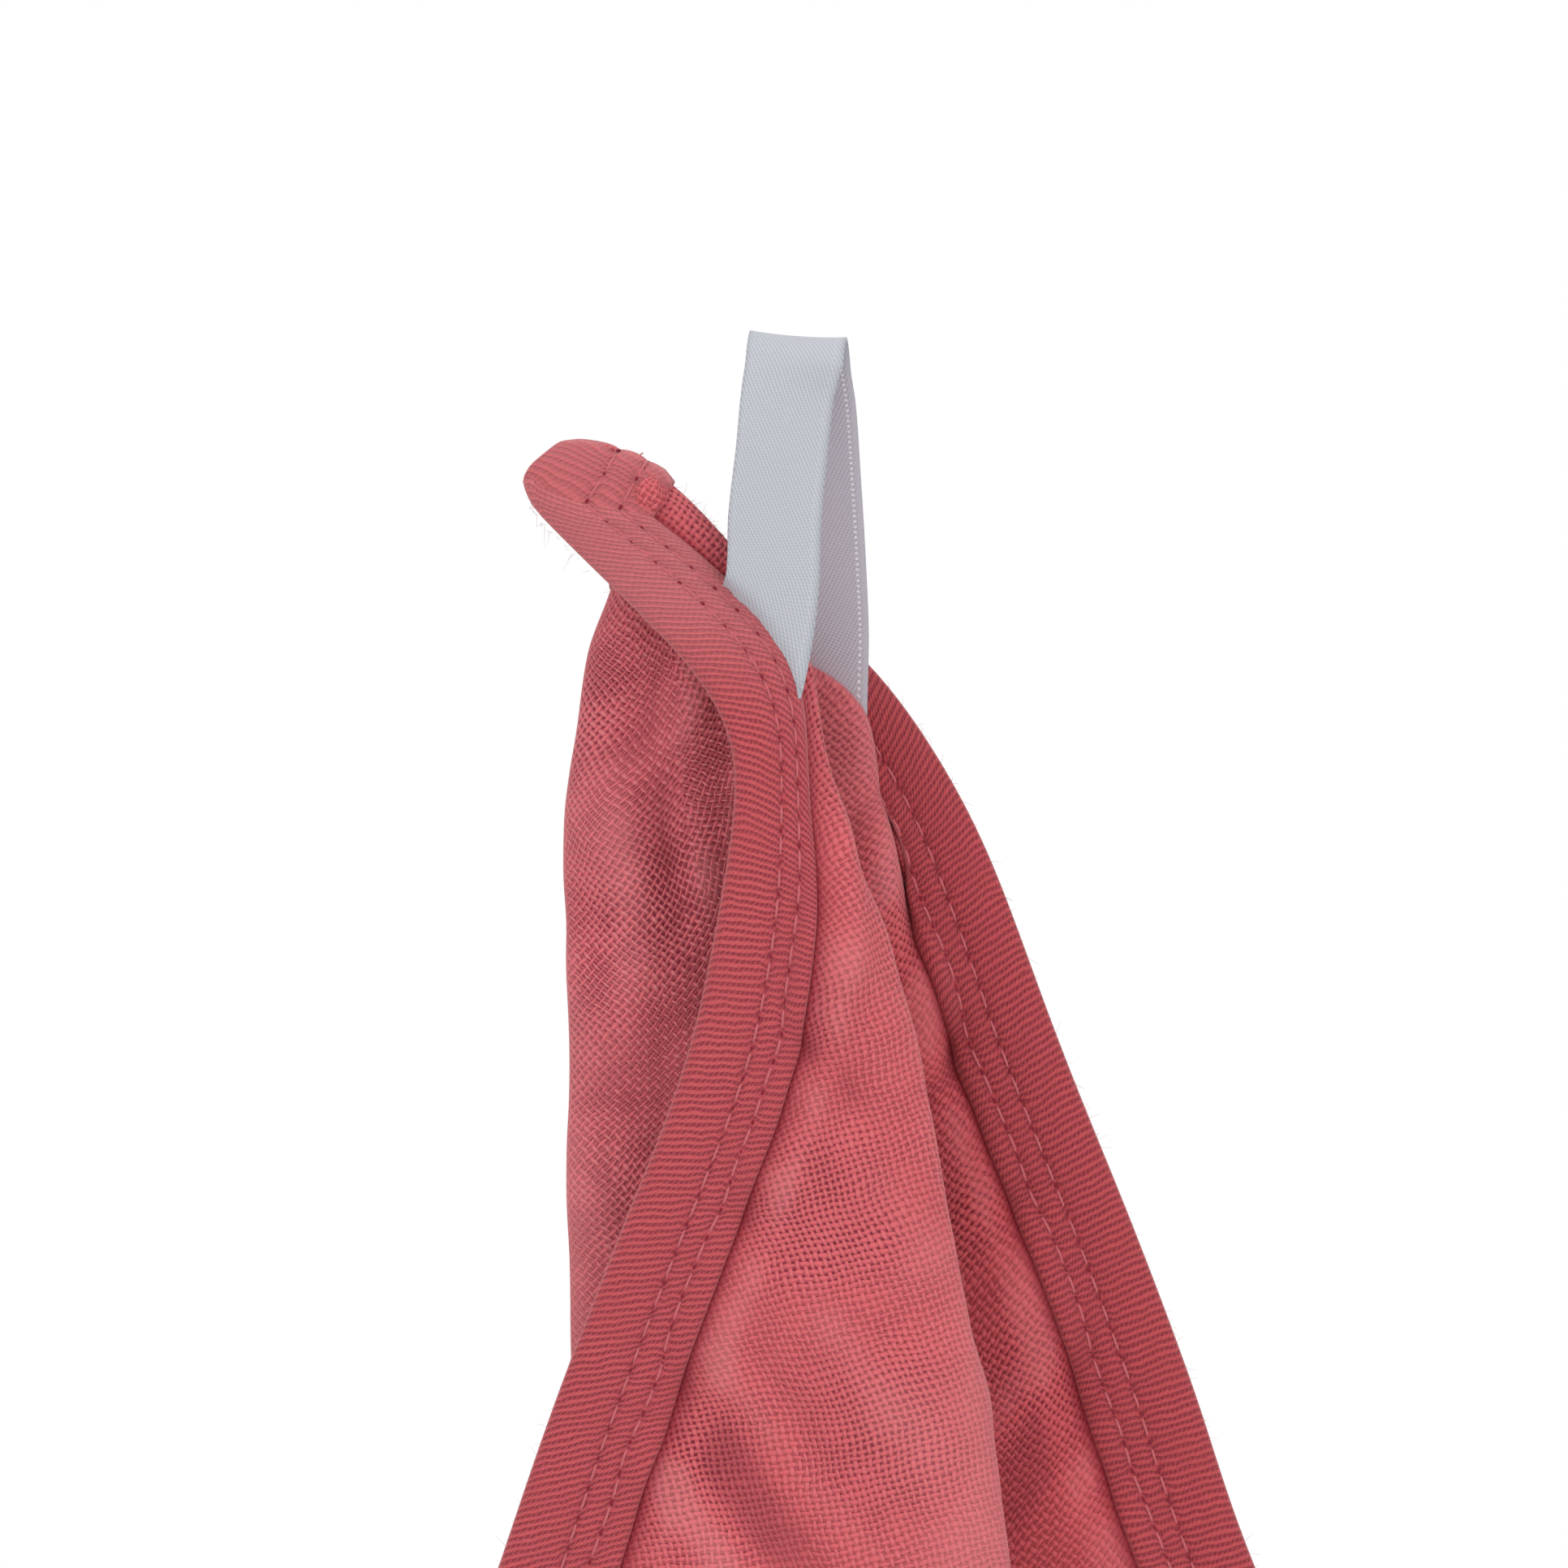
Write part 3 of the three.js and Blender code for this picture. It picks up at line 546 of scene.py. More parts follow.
def binding_object():
    shares = np.array([0, 0.04, 0.1, 0.18, 0.26, 0.34, 0.4, 0.44, 0.47, 0.5, 0.55, 0.6, 0.65, 0.69,
                       0.73, 0.77, 0.82, 0.88, 0.94, 1.0])
    # For each share, the rows and columns of every station, matched from edge to inner edge
    lines = [on_path(ring_path(share)[0], OUTER_REACH, PLACES) for share in shares]
    heights = np.interp(shares, PROFILE_AT, PROFILE) * TAPE_HEIGHT
    rng = np.random.RandomState(7)
    ripple = np.interp(PLACES, np.linspace(0, EDGE_LENGTH, 420), rng.uniform(-1, 1, 420))
    front, back = [], []
    edge_point, edge_normal = surface_at(*lines[0], np.zeros(STATIONS))
    inner_point, _ = surface_at(*lines[5], np.zeros(STATIONS))
    out = edge_point - inner_point
    out = unit(out - edge_normal * np.sum(out * edge_normal, axis=1, keepdims=True))
    for line, share, height in zip(lines, shares, heights):
        wave = ripple * 0.12 * bell(share - 0.6, 0.15)
        past = out * TAPE_PAST * max(0.0, 1 - share / 0.3)
        for face, sign in ((front, 1), (back, -1)):
            face.append(surface_at(*line, sign * (TAPE_BASE + height + wave))[0] + past)
    nose = []
    for k in range(1, NOSE_STEPS):
        angle = math.pi * k / NOSE_STEPS
        past = out * (TAPE_PAST + 1.0 * math.sin(angle))
        nose.append(edge_point + past + edge_normal * (TAPE_BASE + heights[0]) * math.cos(angle))

    def under(line, sign):
        return surface_at(*line, np.full(STATIONS, sign * (TAPE_BASE - 0.02)))[0]

    inward = lines[2:-1:2]
    cuts = [under(lines[0], sign) + out * 0.35 for sign in (-1, 1)]
    profile = [under(lines[-1], 1)] + front[::-1] + nose + back + [under(lines[-1], -1)]
    profile += [under(k, -1) for k in inward[::-1]] + cuts + [under(k, 1) for k in inward]
    # The knit's millimetres across: down the front flap, round the edge, and on over the back flap
    across = [BINDING_WIDTH] + [BINDING_WIDTH * s for s in shares[::-1]]
    across += [-0.4 * k for k in range(1, NOSE_STEPS)]
    across += [-3.2 - BINDING_WIDTH * s for s in shares]
    across += [-14.0 - k for k in range(3 + 2 * len(inward))]
    rings = np.array(profile).transpose(1, 0, 2).reshape(-1, 3)
    size = len(profile)
    i, j = np.meshgrid(np.arange(STATIONS), np.arange(size), indexing="ij")
    i2, j2 = (i + 1) % STATIONS, (j + 1) % size
    corners = [i * size + j, i2 * size + j, i2 * size + j2, i * size + j2]
    faces = np.stack(corners, axis=-1).reshape(-1, 4)
    here, beyond = PLACES[i], PLACES[i] + EDGE_LENGTH / STATIONS
    u = np.stack([here, beyond, beyond, here], axis=-1)
    side = np.array(across + [across[0] - 30])
    v = np.stack([side[j], side[j], side[j + 1], side[j + 1]], axis=-1)
    flat = np.stack([u, v], axis=-1).reshape(-1, 4, 2)
    return make_object("jersey_tape", rings, faces[:, ::-1], {"cloth": flat[:, ::-1]})


binding = binding_object()


def tube(points, normals, radius, sides=6, flatten=1.0):
    """Vertices and faces of a tube along points, capped at both ends."""
    points = np.asarray(points)
    along = unit(np.gradient(points, axis=0))
    side = unit(np.cross(along, normals))
    up = np.cross(side, along)
    radius = np.broadcast_to(radius, (len(points),))
    ring = []
    for k in range(sides):
        a = 2 * math.pi * k / sides
        ring.append(points + (side * math.cos(a) + up * math.sin(a) * flatten) * radius[:, None])
    verts = np.array(ring).transpose(1, 0, 2).reshape(-1, 3)
    faces = []
    for n in range(len(points) - 1):
        for k in range(sides):
            k2 = (k + 1) % sides
            faces.append((n * sides + k, n * sides + k2, (n + 1) * sides + k2, (n + 1) * sides + k))
    faces.append(tuple(range(sides - 1, -1, -1)))
    last = (len(points) - 1) * sides
    faces.append(tuple(last + k for k in range(sides)))
    return verts, faces


def merged(name, parts):
    verts, faces, offset = [], [], 0
    for v, f in parts:
        verts.append(v)
        faces += [tuple(n + offset for n in face) for face in f]
        offset += len(v)
    return make_object(name, np.vstack(verts), faces)


STITCH_PITCH = 3.15
STITCH_LENGTH = 2.45
STITCH_RADIUS = 0.14


def stitch(row, column, side, foot, climb, radius, taper=0.0):
    """One stitch: a thread that climbs from a foot height in a full arch and sinks again."""
    arch = np.sin(np.linspace(0, math.pi, len(row))) ** 0.5
    points, normals = surface_at(row, column, side * (foot + climb * arch))
    return tube(points, normals, radius * (1 - taper + taper * arch), 6, 0.8)


def stitch_row(name, share):
    path, reach = ring_path(share)
    count = int(reach[-1] / STITCH_PITCH)
    pitch = reach[-1] / count
    rng = np.random.RandomState(int(share * 1000))
    parts = []
    for k in range(count):
        start = k * pitch + rng.uniform(-0.12, 0.12)
        s = np.linspace(start, start + STITCH_LENGTH + rng.uniform(-0.15, 0.15), 8)
        row, column = on_path(path, reach, s % reach[-1])
        parts.append(stitch(row, column, 1, SEAM_HEIGHT - 0.32, 0.36, STITCH_RADIUS, 0.25))
    return merged(name, parts)


SEAM_OUTER, SEAM_INNER = 0.47, 0.73
SEAM_VALLEY = 0.62  # the profile's height in the outer seam
SEAM_HEIGHT = TAPE_BASE + SEAM_VALLEY * TAPE_HEIGHT + 0.03
outer_stitches = stitch_row("outer_needle_stitches", SEAM_OUTER)
inner_stitches = stitch_row("inner_needle_stitches", SEAM_INNER)

COVER_STEPS = 4  # points from one needle row to the other
COVER_RADIUS = 0.16


def cover_seam():
    """The looper's thread on the back, crossing between the two needle rows."""
    _, reach = ring_path((SEAM_OUTER + SEAM_INNER) / 2)
    crossings = int(reach[-1] / STITCH_PITCH) * 4
    s = np.linspace(0, reach[-1], crossings * COVER_STEPS, endpoint=False)
    swing = 0.5 + 0.5 * np.cos(np.arange(len(s)) * math.pi / COVER_STEPS)
    outer, inner = (np.array(on_path(ring_path(k)[0], reach, s)) for k in (SEAM_OUTER, SEAM_INNER))
    row, column = outer * swing + inner * (1 - swing)
    points, normals = surface_at(row, column, np.full(len(row), -(SEAM_HEIGHT + 0.3)))
    return merged("cover_stitches", [tube(points, normals, COVER_RADIUS, 5)])


cover_stitches = cover_seam()

HOLE_AT = np.array([-0.24, 0, 0.24])
HOLE_RADII = np.array([0.11, 0.23, 0.11])


def painted_needle_hole_shade():
    """Dark marks of painted shade where the needles' thread pulls dimples into the tape between two
    stitches.
    """
    parts = []
    for share in (SEAM_OUTER, SEAM_INNER):
        path, reach = ring_path(share)
        count = int(reach[-1] / STITCH_PITCH)
        for k in range(count):
            middle = (k - (1 - STITCH_LENGTH / STITCH_PITCH) / 2) * reach[-1] / count
            row, column = on_path(path, reach, (middle + HOLE_AT) % reach[-1])
            points, normals = surface_at(row, column, np.full(3, SEAM_HEIGHT - 0.06))
            parts.append(tube(points, normals, HOLE_RADII, 8, 0.6))
    return merged("painted_needle_hole_shade", parts)


needle_hole_shade_marks = painted_needle_hole_shade()

FIBRES_PER_LINE = 480
FRAYED_ENDS = 46
ANY_NORMAL = [0.3, 0.8, 0.5]  # thin round tubes need no true one


def curved_end(start, way, bend, length, radii, sides):
    """A thin tube that starts straight and bends off, with one radius to a point."""
    t = np.linspace(0, 1, len(radii))[:, None]
    points = start + way * length * t + bend * length * t * t
    return tube(points, np.array([ANY_NORMAL] * len(radii)), radii, sides)


def nap():
    """Loose fibre ends that stand off the cloth's folds, its bound edge and the tab."""
    rng = np.random.RandomState(23)
    parts = []
    lines = [(CREST1, 3), (CREST2, 3), (0, 0), (COLUMN_COUNT - 1, 0), (CREST1 - 8, 8)]
    for column, spread in lines:
        for _ in range(FIBRES_PER_LINE):
            row = np.array([rng.uniform(0, ROW_COUNT - 1) * (0.5 if rng.uniform() < 0.6 else 1)])
            at = np.clip(column + rng.normal(0, 1) * spread, 0, COLUMN_COUNT - 1.001)
            base, normal = surface_at(row, np.array([at]), np.array([0.0]))
            out = normal[0]
            start = base[0] + out * PANEL_FACE
            if spread == 0:
                inner = sampled(GRID, row, np.array([2.0 if column == 0 else COLUMN_COUNT - 3.0]))[0]
                edge = base[0] - inner
                edge = unit(edge - out * np.dot(edge, out))
                angle = rng.uniform(-1.4, 1.4)
                start = base[0] + edge * (0.3 + 0.95 * math.cos(angle)) + out * 1.15 * math.sin(angle)
                out = edge * math.cos(angle) + out * math.sin(angle)
            along = rng.normal(0, 1, 3)
            along = unit(along - out * np.dot(along, out))
            length = rng.uniform(0.25, 0.95)
            way = out * 0.55 + along * 0.8
            bend = rng.normal(0, 0.6, 3)
            parts.append(curved_end(start, way, bend, length, np.linspace(0.02, 0.009, 4), 3))
    return merged("loose_fibres", parts)


fibres = nap()


def frayed_ends():
    """Cut yarn ends that stick out of the seam at the tab's end."""
    rng = np.random.RandomState(31)
    parts = []
    seat = nearest_point(-18.4, -12.4, CREST1 + 2)
    for _ in range(FRAYED_ENDS):
        spread = rng.uniform(-1.7, 1.7)
        start = seat + np.array([spread, rng.uniform(-1.3, 0.6), -0.45 * spread - 0.2])
        way = unit(np.array([rng.normal(0.3, 0.6), rng.normal(-0.4, 0.5), 0.7]))
        bend = rng.normal(0, 0.7, 3)
        length = rng.uniform(0.5, 1.15)
        parts.append(curved_end(start, way, bend, length, np.linspace(0.13, 0.07, 6), 6))
    return merged("frayed_yarn_ends", parts)


frayed = frayed_ends()

RIBBON_WIDTH = 9.9
RIBBON_HALF = 0.16  # half its thickness
BEND_RADIUS = 4.4  # inside the ribbon's bend
MIDDLE_RADIUS = BEND_RADIUS + RIBBON_HALF
# Stations of the ribbon's middle line: x, y, z, half its width as seen, how far its right edge drops
# below its left one, and how far the right edge stands behind the left one
RIBBON_FRONT = [
    (-5.6, -11.4, -35.5, 4.6, 9.5, 0.8),
    (-3.9, -11.2, -31.0, 4.6, 7.5, 1.2),
    (-2.8, -10.6, -26.0, 4.6, 2.6, 1.5),
    (-2.5, -9.0, -19.0, 4.65, 0.8, 1.7),
    (-1.8, -7.0, -12.0, 4.6, 0.5, 1.6),
    (-1.2, -5.1, -6.2, 4.7, 0.7, 0.9),
]
RIBBON_BACK = [
    (0.9, 4.9, -6.2, 4.9, 0.5, 0),
    (1.5, 5.4, -14.0, 4.85, 0.3, 0.2),
    (2.0, 6.2, -22.0, 4.85, 0.3, 0.5),
    (2.4, 7.4, -30.0, 4.8, 1.0, 0.8),
    (2.3, 8.7, -35.5, 4.75, 5.5, 0.5),
    (2.3, 8.8, -36.6, 4.7, 7.0, 0.4),
]
OVER_GAUZE = PANEL_FACE + 0.3
UNDER_FLAP = 0.15
RIBBON_LOWEST = -62  # no cloth below this lies near the ribbon
FOOT_BELOW = -17  # the ribbon lies on the cloth below this
RIBBON_ROWS, RIBBON_COLUMNS = 170, 15
RIBBON_TURNS = 10  # steps round the bend


def front_face(points):
    """The front layer's depth at each point's x and z, its column there, and how near it lies."""
    rows = GRID[:, 0, 2] > RIBBON_LOWEST
    inner_edge = [BAND_CELLS + 0.4, BAND_CELLS + 2.0]
    height = np.interp(np.arange(CREST1 + 1), inner_edge, [UNDER_FLAP, OVER_GAUZE])
    near = (GRID[:, : CREST1 + 1] + NORMALS[:, : CREST1 + 1] * height[None, :, None])[rows]
    column = np.broadcast_to(np.arange(CREST1 + 1), near.shape[:2]).ravel()
    near = near.reshape(-1, 3)
    flat = points.reshape(-1, 3)
    gap = np.hypot(flat[:, None, 0] - near[None, :, 0], flat[:, None, 2] - near[None, :, 2])
    nearest = np.argsort(gap, axis=1)[:, :4]
    weight = 1 / (np.take_along_axis(gap, nearest, axis=1) + 0.05)
    weight /= weight.sum(axis=1, keepdims=True)
    depth = np.sum(near[:, 1][nearest] * weight, axis=1)
    inset = np.sum(column[nearest] * weight, axis=1)
    return (v.reshape(points.shape[:2]) for v in (depth, inset, gap.min(axis=1)))


def ribbon_object():
    stations = list(RIBBON_FRONT)
    for k in range(1, RIBBON_TURNS):
        angle = math.pi * k / RIBBON_TURNS
        x = -0.7 + 1.2 * k / RIBBON_TURNS
        y, z = -math.cos(angle) * MIDDLE_RADIUS, math.sin(angle) * MIDDLE_RADIUS - BEND_RADIUS
        stations.append((x, y, z, 4.95, 0.7, 0))
    keys = np.array(stations + RIBBON_BACK, float)
    t = np.linspace(0, 1, RIBBON_ROWS)
    line = catmull(keys[:, :3], t)
    half, drop, back = (np.interp(t, np.linspace(0, 1, len(keys)), keys[:, c]) for c in (3, 4, 5))
    w = np.linspace(-1, 1, RIBBON_COLUMNS)
    way = np.stack([half, back, -drop / 2], axis=1)
    normal = unit(np.cross(unit(np.gradient(line, axis=0)), [1, 0, 0]))
    grid = line[:, None] + way[:, None] * w[None, :, None]
    grid += normal[:, None] * (0.25 * (1 - w * w))[None, :, None]
    foot = grid[:, :, 2] < FOOT_BELOW
    front = foot & (np.arange(RIBBON_ROWS)[:, None] < RIBBON_ROWS // 2)
    depth, inset_column, closest = front_face(grid)
    over = np.clip((1.2 - closest) / 0.8, 0, 1) * front
    y = np.minimum(grid[:, :, 1], depth) * over + grid[:, :, 1] * (1 - over)
    under = np.clip(BAND_CELLS + 0.6 - inset_column, 0, 1) * over
    y = y * (1 - under) + depth * under
    for _ in range(3):
        y[1:-1] = (y[:-2] + 2 * y[1:-1] + y[2:]) / 4
    grid[:, :, 1] = y
    u = np.broadcast_to(np.linspace(0, RIBBON_WIDTH, RIBBON_COLUMNS), foot.shape).ravel()
    v = np.broadcast_to(reach_along(line)[:, None], foot.shape).ravel()
    at = lambda corners: np.stack([u[corners], v[corners]], axis=-1)
    return sheet_object("ribbon_loop", grid, grid_normals(grid), -RIBBON_HALF, RIBBON_HALF, at)


ribbon = ribbon_object()


PAD_POINTS = 26, 16
PAD_THICKNESS = 0.9
PAD_CORNER = 0.2, 0.3  # shares of the half length and half width that the round corners take


def pad_object(name, rows, side):
    """A pad over part of the cloth, with rounded corners and edges."""
    n, m = PAD_POINTS
    rr, cc = np.meshgrid(np.linspace(*rows, n), np.linspace(*PAD_COLUMNS, m), indexing="ij")
    x, y = np.meshgrid(np.linspace(-1, 1, n), np.linspace(-1, 1, m), indexing="ij")
    a, b = PAD_CORNER
    past = [(np.clip(np.abs(w), 1 - share, 1) - (1 - share)) / share for w, share in ((x, a), (y, b))]
    pull = np.clip(np.hypot(*past) - 1, 0, None)
    rr = rr - np.sign(x) * pull * a * (rows[1] - rows[0]) / 2
    cc = cc - np.sign(y) * pull * b * (PAD_COLUMNS[1] - PAD_COLUMNS[0]) / 2
    rim = np.minimum(1 - np.abs(x), 1 - np.abs(y))
    lift = PANEL_FACE + 0.1 + PAD_THICKNESS * (0.65 + 0.35 * np.clip(rim / 0.12, 0, 1))
    top, _ = surface_at(rr, cc, side * lift)
    base, _ = surface_at(rr, cc, np.full(rr.shape, side * (PANEL_FACE + 0.02)))
    faces = closed_faces(n, m)
    if side < 0:
        faces = faces[:, ::-1]
    corners = faces % (n * m)
    flat = np.stack([(y * 8).ravel()[corners], (x * 12).ravel()[corners]], axis=-1)
    return make_object(name, np.vstack([top.reshape(-1, 3), base.reshape(-1, 3)]), faces, {"cloth": flat})


def pad_area(node):
    """The grid's rows between a CAD node's highest and lowest point, midway across the pads."""
    low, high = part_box(node)
    centre = GRID[:, (PAD_COLUMNS[0] + PAD_COLUMNS[1]) // 2, 2]
    ends = [int(np.argmin(abs(centre - corner[2] / METRES))) for corner in (low, high)]
    return min(ends), max(ends)


PAD_COLUMNS = (CREST2 + 8, COLUMN_COUNT - 1 - BAND_CELLS - 4)
hook_pad = pad_object("touch_hook_pad", pad_area("hook_pad"), -1)
loop_pad = pad_object("touch_loop_pad", pad_area("loop_pad"), 1)

PAD_PITCH = 2.4
PAD_STITCH = 0.82  # share of the pitch that one stitch takes


def pad_stitches(name, node, side):
    """A lockstitch row round a pad, just inside its edge."""
    rows = pad_area(node)
    a, b = rows[0] + 0.1 * (rows[1] - rows[0]), rows[1] - 0.1 * (rows[1] - rows[0])
    width = PAD_COLUMNS[1] - PAD_COLUMNS[0]
    c, d = PAD_COLUMNS[0] + 0.14 * width, PAD_COLUMNS[1] - 0.14 * width
    corners = np.array([(a, c), (b, c), (b, d), (a, d), (a, c)], float)
    path = np.vstack([np.linspace(p, q, 200, endpoint=False) for p, q in zip(corners, corners[1:])])
    points, _ = surface_at(path[:, 0], path[:, 1], np.zeros(len(path)))
    reach = reach_along(points)
    count = int(reach[-1] / PAD_PITCH)
    parts = []
    for k in range(count):
        row, column = on_path(path, reach, np.linspace(k, k + PAD_STITCH, 7) * reach[-1] / count)
        parts.append(stitch(row, column, side, PANEL_FACE + 0.8, 0.3, 0.17))
    return merged(name, parts)


hook_pad_stitches = pad_stitches("hook_pad_stitches", "hook_pad", -1)
loop_pad_stitches = pad_stitches("loop_pad_stitches", "loop_pad", 1)


class Value:
    """A number or colour inside a material. Sums with it make math nodes."""

    def __init__(self, graph, socket):
        self.graph, self.socket = graph, socket

    def __add__(self, other):
        return self.graph.math("ADD", self, other)

    def __sub__(self, other):
        return self.graph.math("SUBTRACT", self, other)

    def __rsub__(self, other):
        return self.graph.math("SUBTRACT", other, self)

    def __mul__(self, other):
        return self.graph.math("MULTIPLY", self, other)

    def __truediv__(self, other):
        return self.graph.math("DIVIDE", self, other)


class Graph:
    """A node material, built by calls that take numbers or values of the same graph."""

    def __init__(self, name, colour, roughness):
        self.material = bpy.data.materials.new(name)
        self.material.use_nodes = True
        self.tree = self.material.node_tree
        self.tree.nodes.clear()
        self.shader = self.node("ShaderNodeBsdfPrincipled", {
            "Roughness": roughness, "Base Color": (*colour, 1), "Specular IOR Level": 0.25
        })
        self.node("ShaderNodeOutputMaterial", {"Surface": Value(self, self.shader.outputs[0])})

    def node(self, kind, inputs=None, **settings):
        """A new node, with inputs by name or place."""
        made = self.tree.nodes.new(kind)
        for key, value in settings.items():
            setattr(made, key, value)
        self.feed(made, inputs or {})
        return made

    def feed(self, node, inputs):
        for place, value in inputs.items():
            if isinstance(value, Value):
                self.tree.links.new(value.socket, node.inputs[place])
            else:
                node.inputs[place].default_value = value

    def math(self, operation, *values):
        made = self.node("ShaderNodeMath", dict(enumerate(values)), operation=operation)
        return Value(self, made.outputs[0])

    def split(self, vector):
        return [Value(self, part) for part in self.node("ShaderNodeSeparateXYZ", {0: vector}).outputs]

    def uv(self, layer="cloth"):
        return self.split(Value(self, self.node("ShaderNodeUVMap", uv_map=layer).outputs[0]))[:2]

    def vector(self, x, y):
        return Value(self, self.node("ShaderNodeCombineXYZ", {0: x, 1: y, 2: 0.0}).outputs[0])

    def noise(self, vector, scale, detail=2.0, roughness=0.5, kind="Fac"):
        made = self.node("ShaderNodeTexNoise", {
            "Vector": vector, "Scale": scale, "Detail": detail, "Roughness": roughness
        })
        return Value(self, made.outputs[kind])

    def wander(self, vector, scale, detail):
        """Two noises that don't follow each other, around 0."""
        parts = self.split(self.noise(vector, scale, detail, kind="Color"))
        return [part - 0.5 for part in parts[:2]]

    def ramp(self, value, low, high, low_to=0.0, high_to=1.0):
        made = self.node("ShaderNodeMapRange", {
            "Value": value, "From Min": low, "From Max": high, "To Min": low_to, "To Max": high_to
        }, interpolation_type="SMOOTHSTEP")
        return Value(self, made.outputs[0])

    def mix(self, factor, a, b, how="MIX"):
        made = self.node("ShaderNodeMix", data_type="RGBA", blend_type=how)
        places = [n for n, socket in enumerate(made.inputs) if socket.type == "RGBA"]
        colours = [(*value, 1) if isinstance(value, tuple) else value for value in (a, b)]
        self.feed(made, {"Factor": factor, **dict(zip(places, colours))})
        return Value(self, next(socket for socket in made.outputs if socket.type == "RGBA"))

    def grazing(self, low, high, most):
        """From 0 where the surface faces the eye to most where it turns away: the mask for a painted sheen.
        """
        facing = Value(self, self.node("ShaderNodeLayerWeight").outputs["Facing"])
        return self.ramp(facing, low, high, 0.0, most)

    def finish(self, colour, height, distance, strength, sheen, tint, sheen_roughness=0.5):
        """Feeds the shader its colour, its bump (a distance in millimetres) and its sheen."""
        bump = self.node("ShaderNodeBump", {
            "Distance": distance * METRES, "Strength": strength, "Height": height
        })
        self.feed(self.shader, {
            "Base Color": colour, "Normal": Value(self, bump.outputs[0]),
            "Sheen Weight": sheen, "Sheen Tint": (*tint, 1), "Sheen Roughness": sheen_roughness
        })
        return self.material


def srgb(text):
    """A linear colour from a hex one."""
    values = [int(text[k:k + 2], 16) / 255 for k in (0, 2, 4)]
    return tuple(v / 12.92 if v <= 0.04045 else ((v + 0.055) / 1.055) ** 2.4 for v in values)


def shaded(colour, share):
    return tuple(c * share for c in colour)


def blended(a, b, share):
    """A colour between two, with this share of the first."""
    return tuple(share * x + (1 - share) * y for x, y in zip(a, b))


TURN = 2 * math.pi
YARN_PITCH = 0.7
RIB_PITCH = 0.78
LOOP_PITCH = 0.5


def muslin(name, top, deep, pale, sway, slim, full, upper_yarn_highlight):
    """Open plain weave of slack yarns: over and under crossings with dark holes at the corners, coloured by
    the yarns' height as painted light and shade.
    """
    g = Graph(name, top, 0.92)
    u, v = g.uv()
    flat = g.vector(u, v)
    wide, close = g.wander(flat, 0.13, 1), g.wander(flat, 0.9, 1)
    pu, pv = ((base + wide[n] * sway + close[n] * 0.34) * (1 / YARN_PITCH) for n, base in enumerate((u, v)))
    parity = g.math("ABSOLUTE", g.math("MODULO", g.math("FLOOR", pu) + g.math("FLOOR", pv), 2.0))
    sign = parity * 2.0 - 1.0
    fu, fv = g.math("FRACT", pu) - 0.5, g.math("FRACT", pv) - 0.5
    half = g.ramp(g.noise(flat, 0.22, 2), 0.35, 0.65, slim, full) + (g.noise(flat, 1.6, 1) - 0.5) * 0.12
    heights = []
    for across, along, turn in ((fu, fv, 1.0), (fv, fu, -1.0)):
        ratio = across / half
        round_ = g.math("SQRT", g.math("MAXIMUM", 1.0 - ratio * ratio, 0.0))
        wave = g.math("COSINE", along * math.pi) * (sign * turn)
        heights.append((round_ * 0.4 + wave * 0.5 + 0.9) * g.ramp(round_, 0.0, 0.12) - 0.9)
    weave = g.math("MAXIMUM", *heights)
    upper = g.ramp(heights[0] - heights[1], -0.1, 0.1)
    under = g.math("MAXIMUM", g.math("COSINE", (pu * 0.97 + 0.37) * TURN),
                   g.math("COSINE", (pv * 0.97 + 0.21) * TURN))
    fibre = g.noise(g.vector(pu, pv), 6.0, 2)
    tone = g.noise(flat, 0.09, 3)
    ridge, _ = g.uv("tone")
    # The weave's colour follows the yarns' height: painted shade in the holes, which show the ply behind in
    # shade, and on the lower yarns, and painted light on the raised ones
    hole = g.mix(g.ramp(under, 0.1, 1.0), deep, blended(deep, top, 0.55))
    colour = g.mix(g.ramp(weave, -0.62, -0.1), hole, blended(deep, top, 0.42))
    colour = g.mix(g.ramp(weave, -0.1, 0.6), colour, top)
    # Painted highlight on the raised yarns of one set, which catch the light from the left
    colour = g.mix(g.ramp(weave, 0.4, 0.9) * (upper * upper_yarn_highlight), colour, pale)
    colour = g.mix(g.ramp(fibre, 0.45, 0.8) * 0.25, colour, pale)
    colour = g.mix(g.ramp(tone, 0.35, 0.7) * 0.22, colour, shaded(top, 0.75))
    # Painted highlights on the ridges, and painted shade in the hollows
    colour = g.mix(g.ramp(ridge, 0.0, 1.0) * 0.35, colour, pale)
    colour = g.mix(g.ramp(ridge, -1.1, 0.0, 1.0, 0.0) * 0.42, colour, deep)
    # Painted sheen where the surface turns away from the eye
    colour = g.mix(g.grazing(0.5, 0.95, 0.6), colour, pale)
    seam, rear = g.uv("place")
    # Painted shade on the rear layer further down, and painted light towards its top
    colour = g.mix(g.ramp(rear, 0.0, 1.0), colour, (1.0, 0.86, 0.88), "MULTIPLY")
    colour = g.mix(g.ramp(rear, -1.0, 0.0, 0.2, 0.0), colour, pale)
    # Painted shadow beside the bindings' inner edges
    colour = g.mix(seam * 0.85, colour, srgb("8a1528"))
    flatter = 1.0 - g.ramp(ridge, 0.15, 0.7) * 0.3
    return g.finish(colour, (weave + fibre * 0.4) * flatter, 0.2, 1.0, 0.25, (1.0, 0.6, 0.6), 0.45)


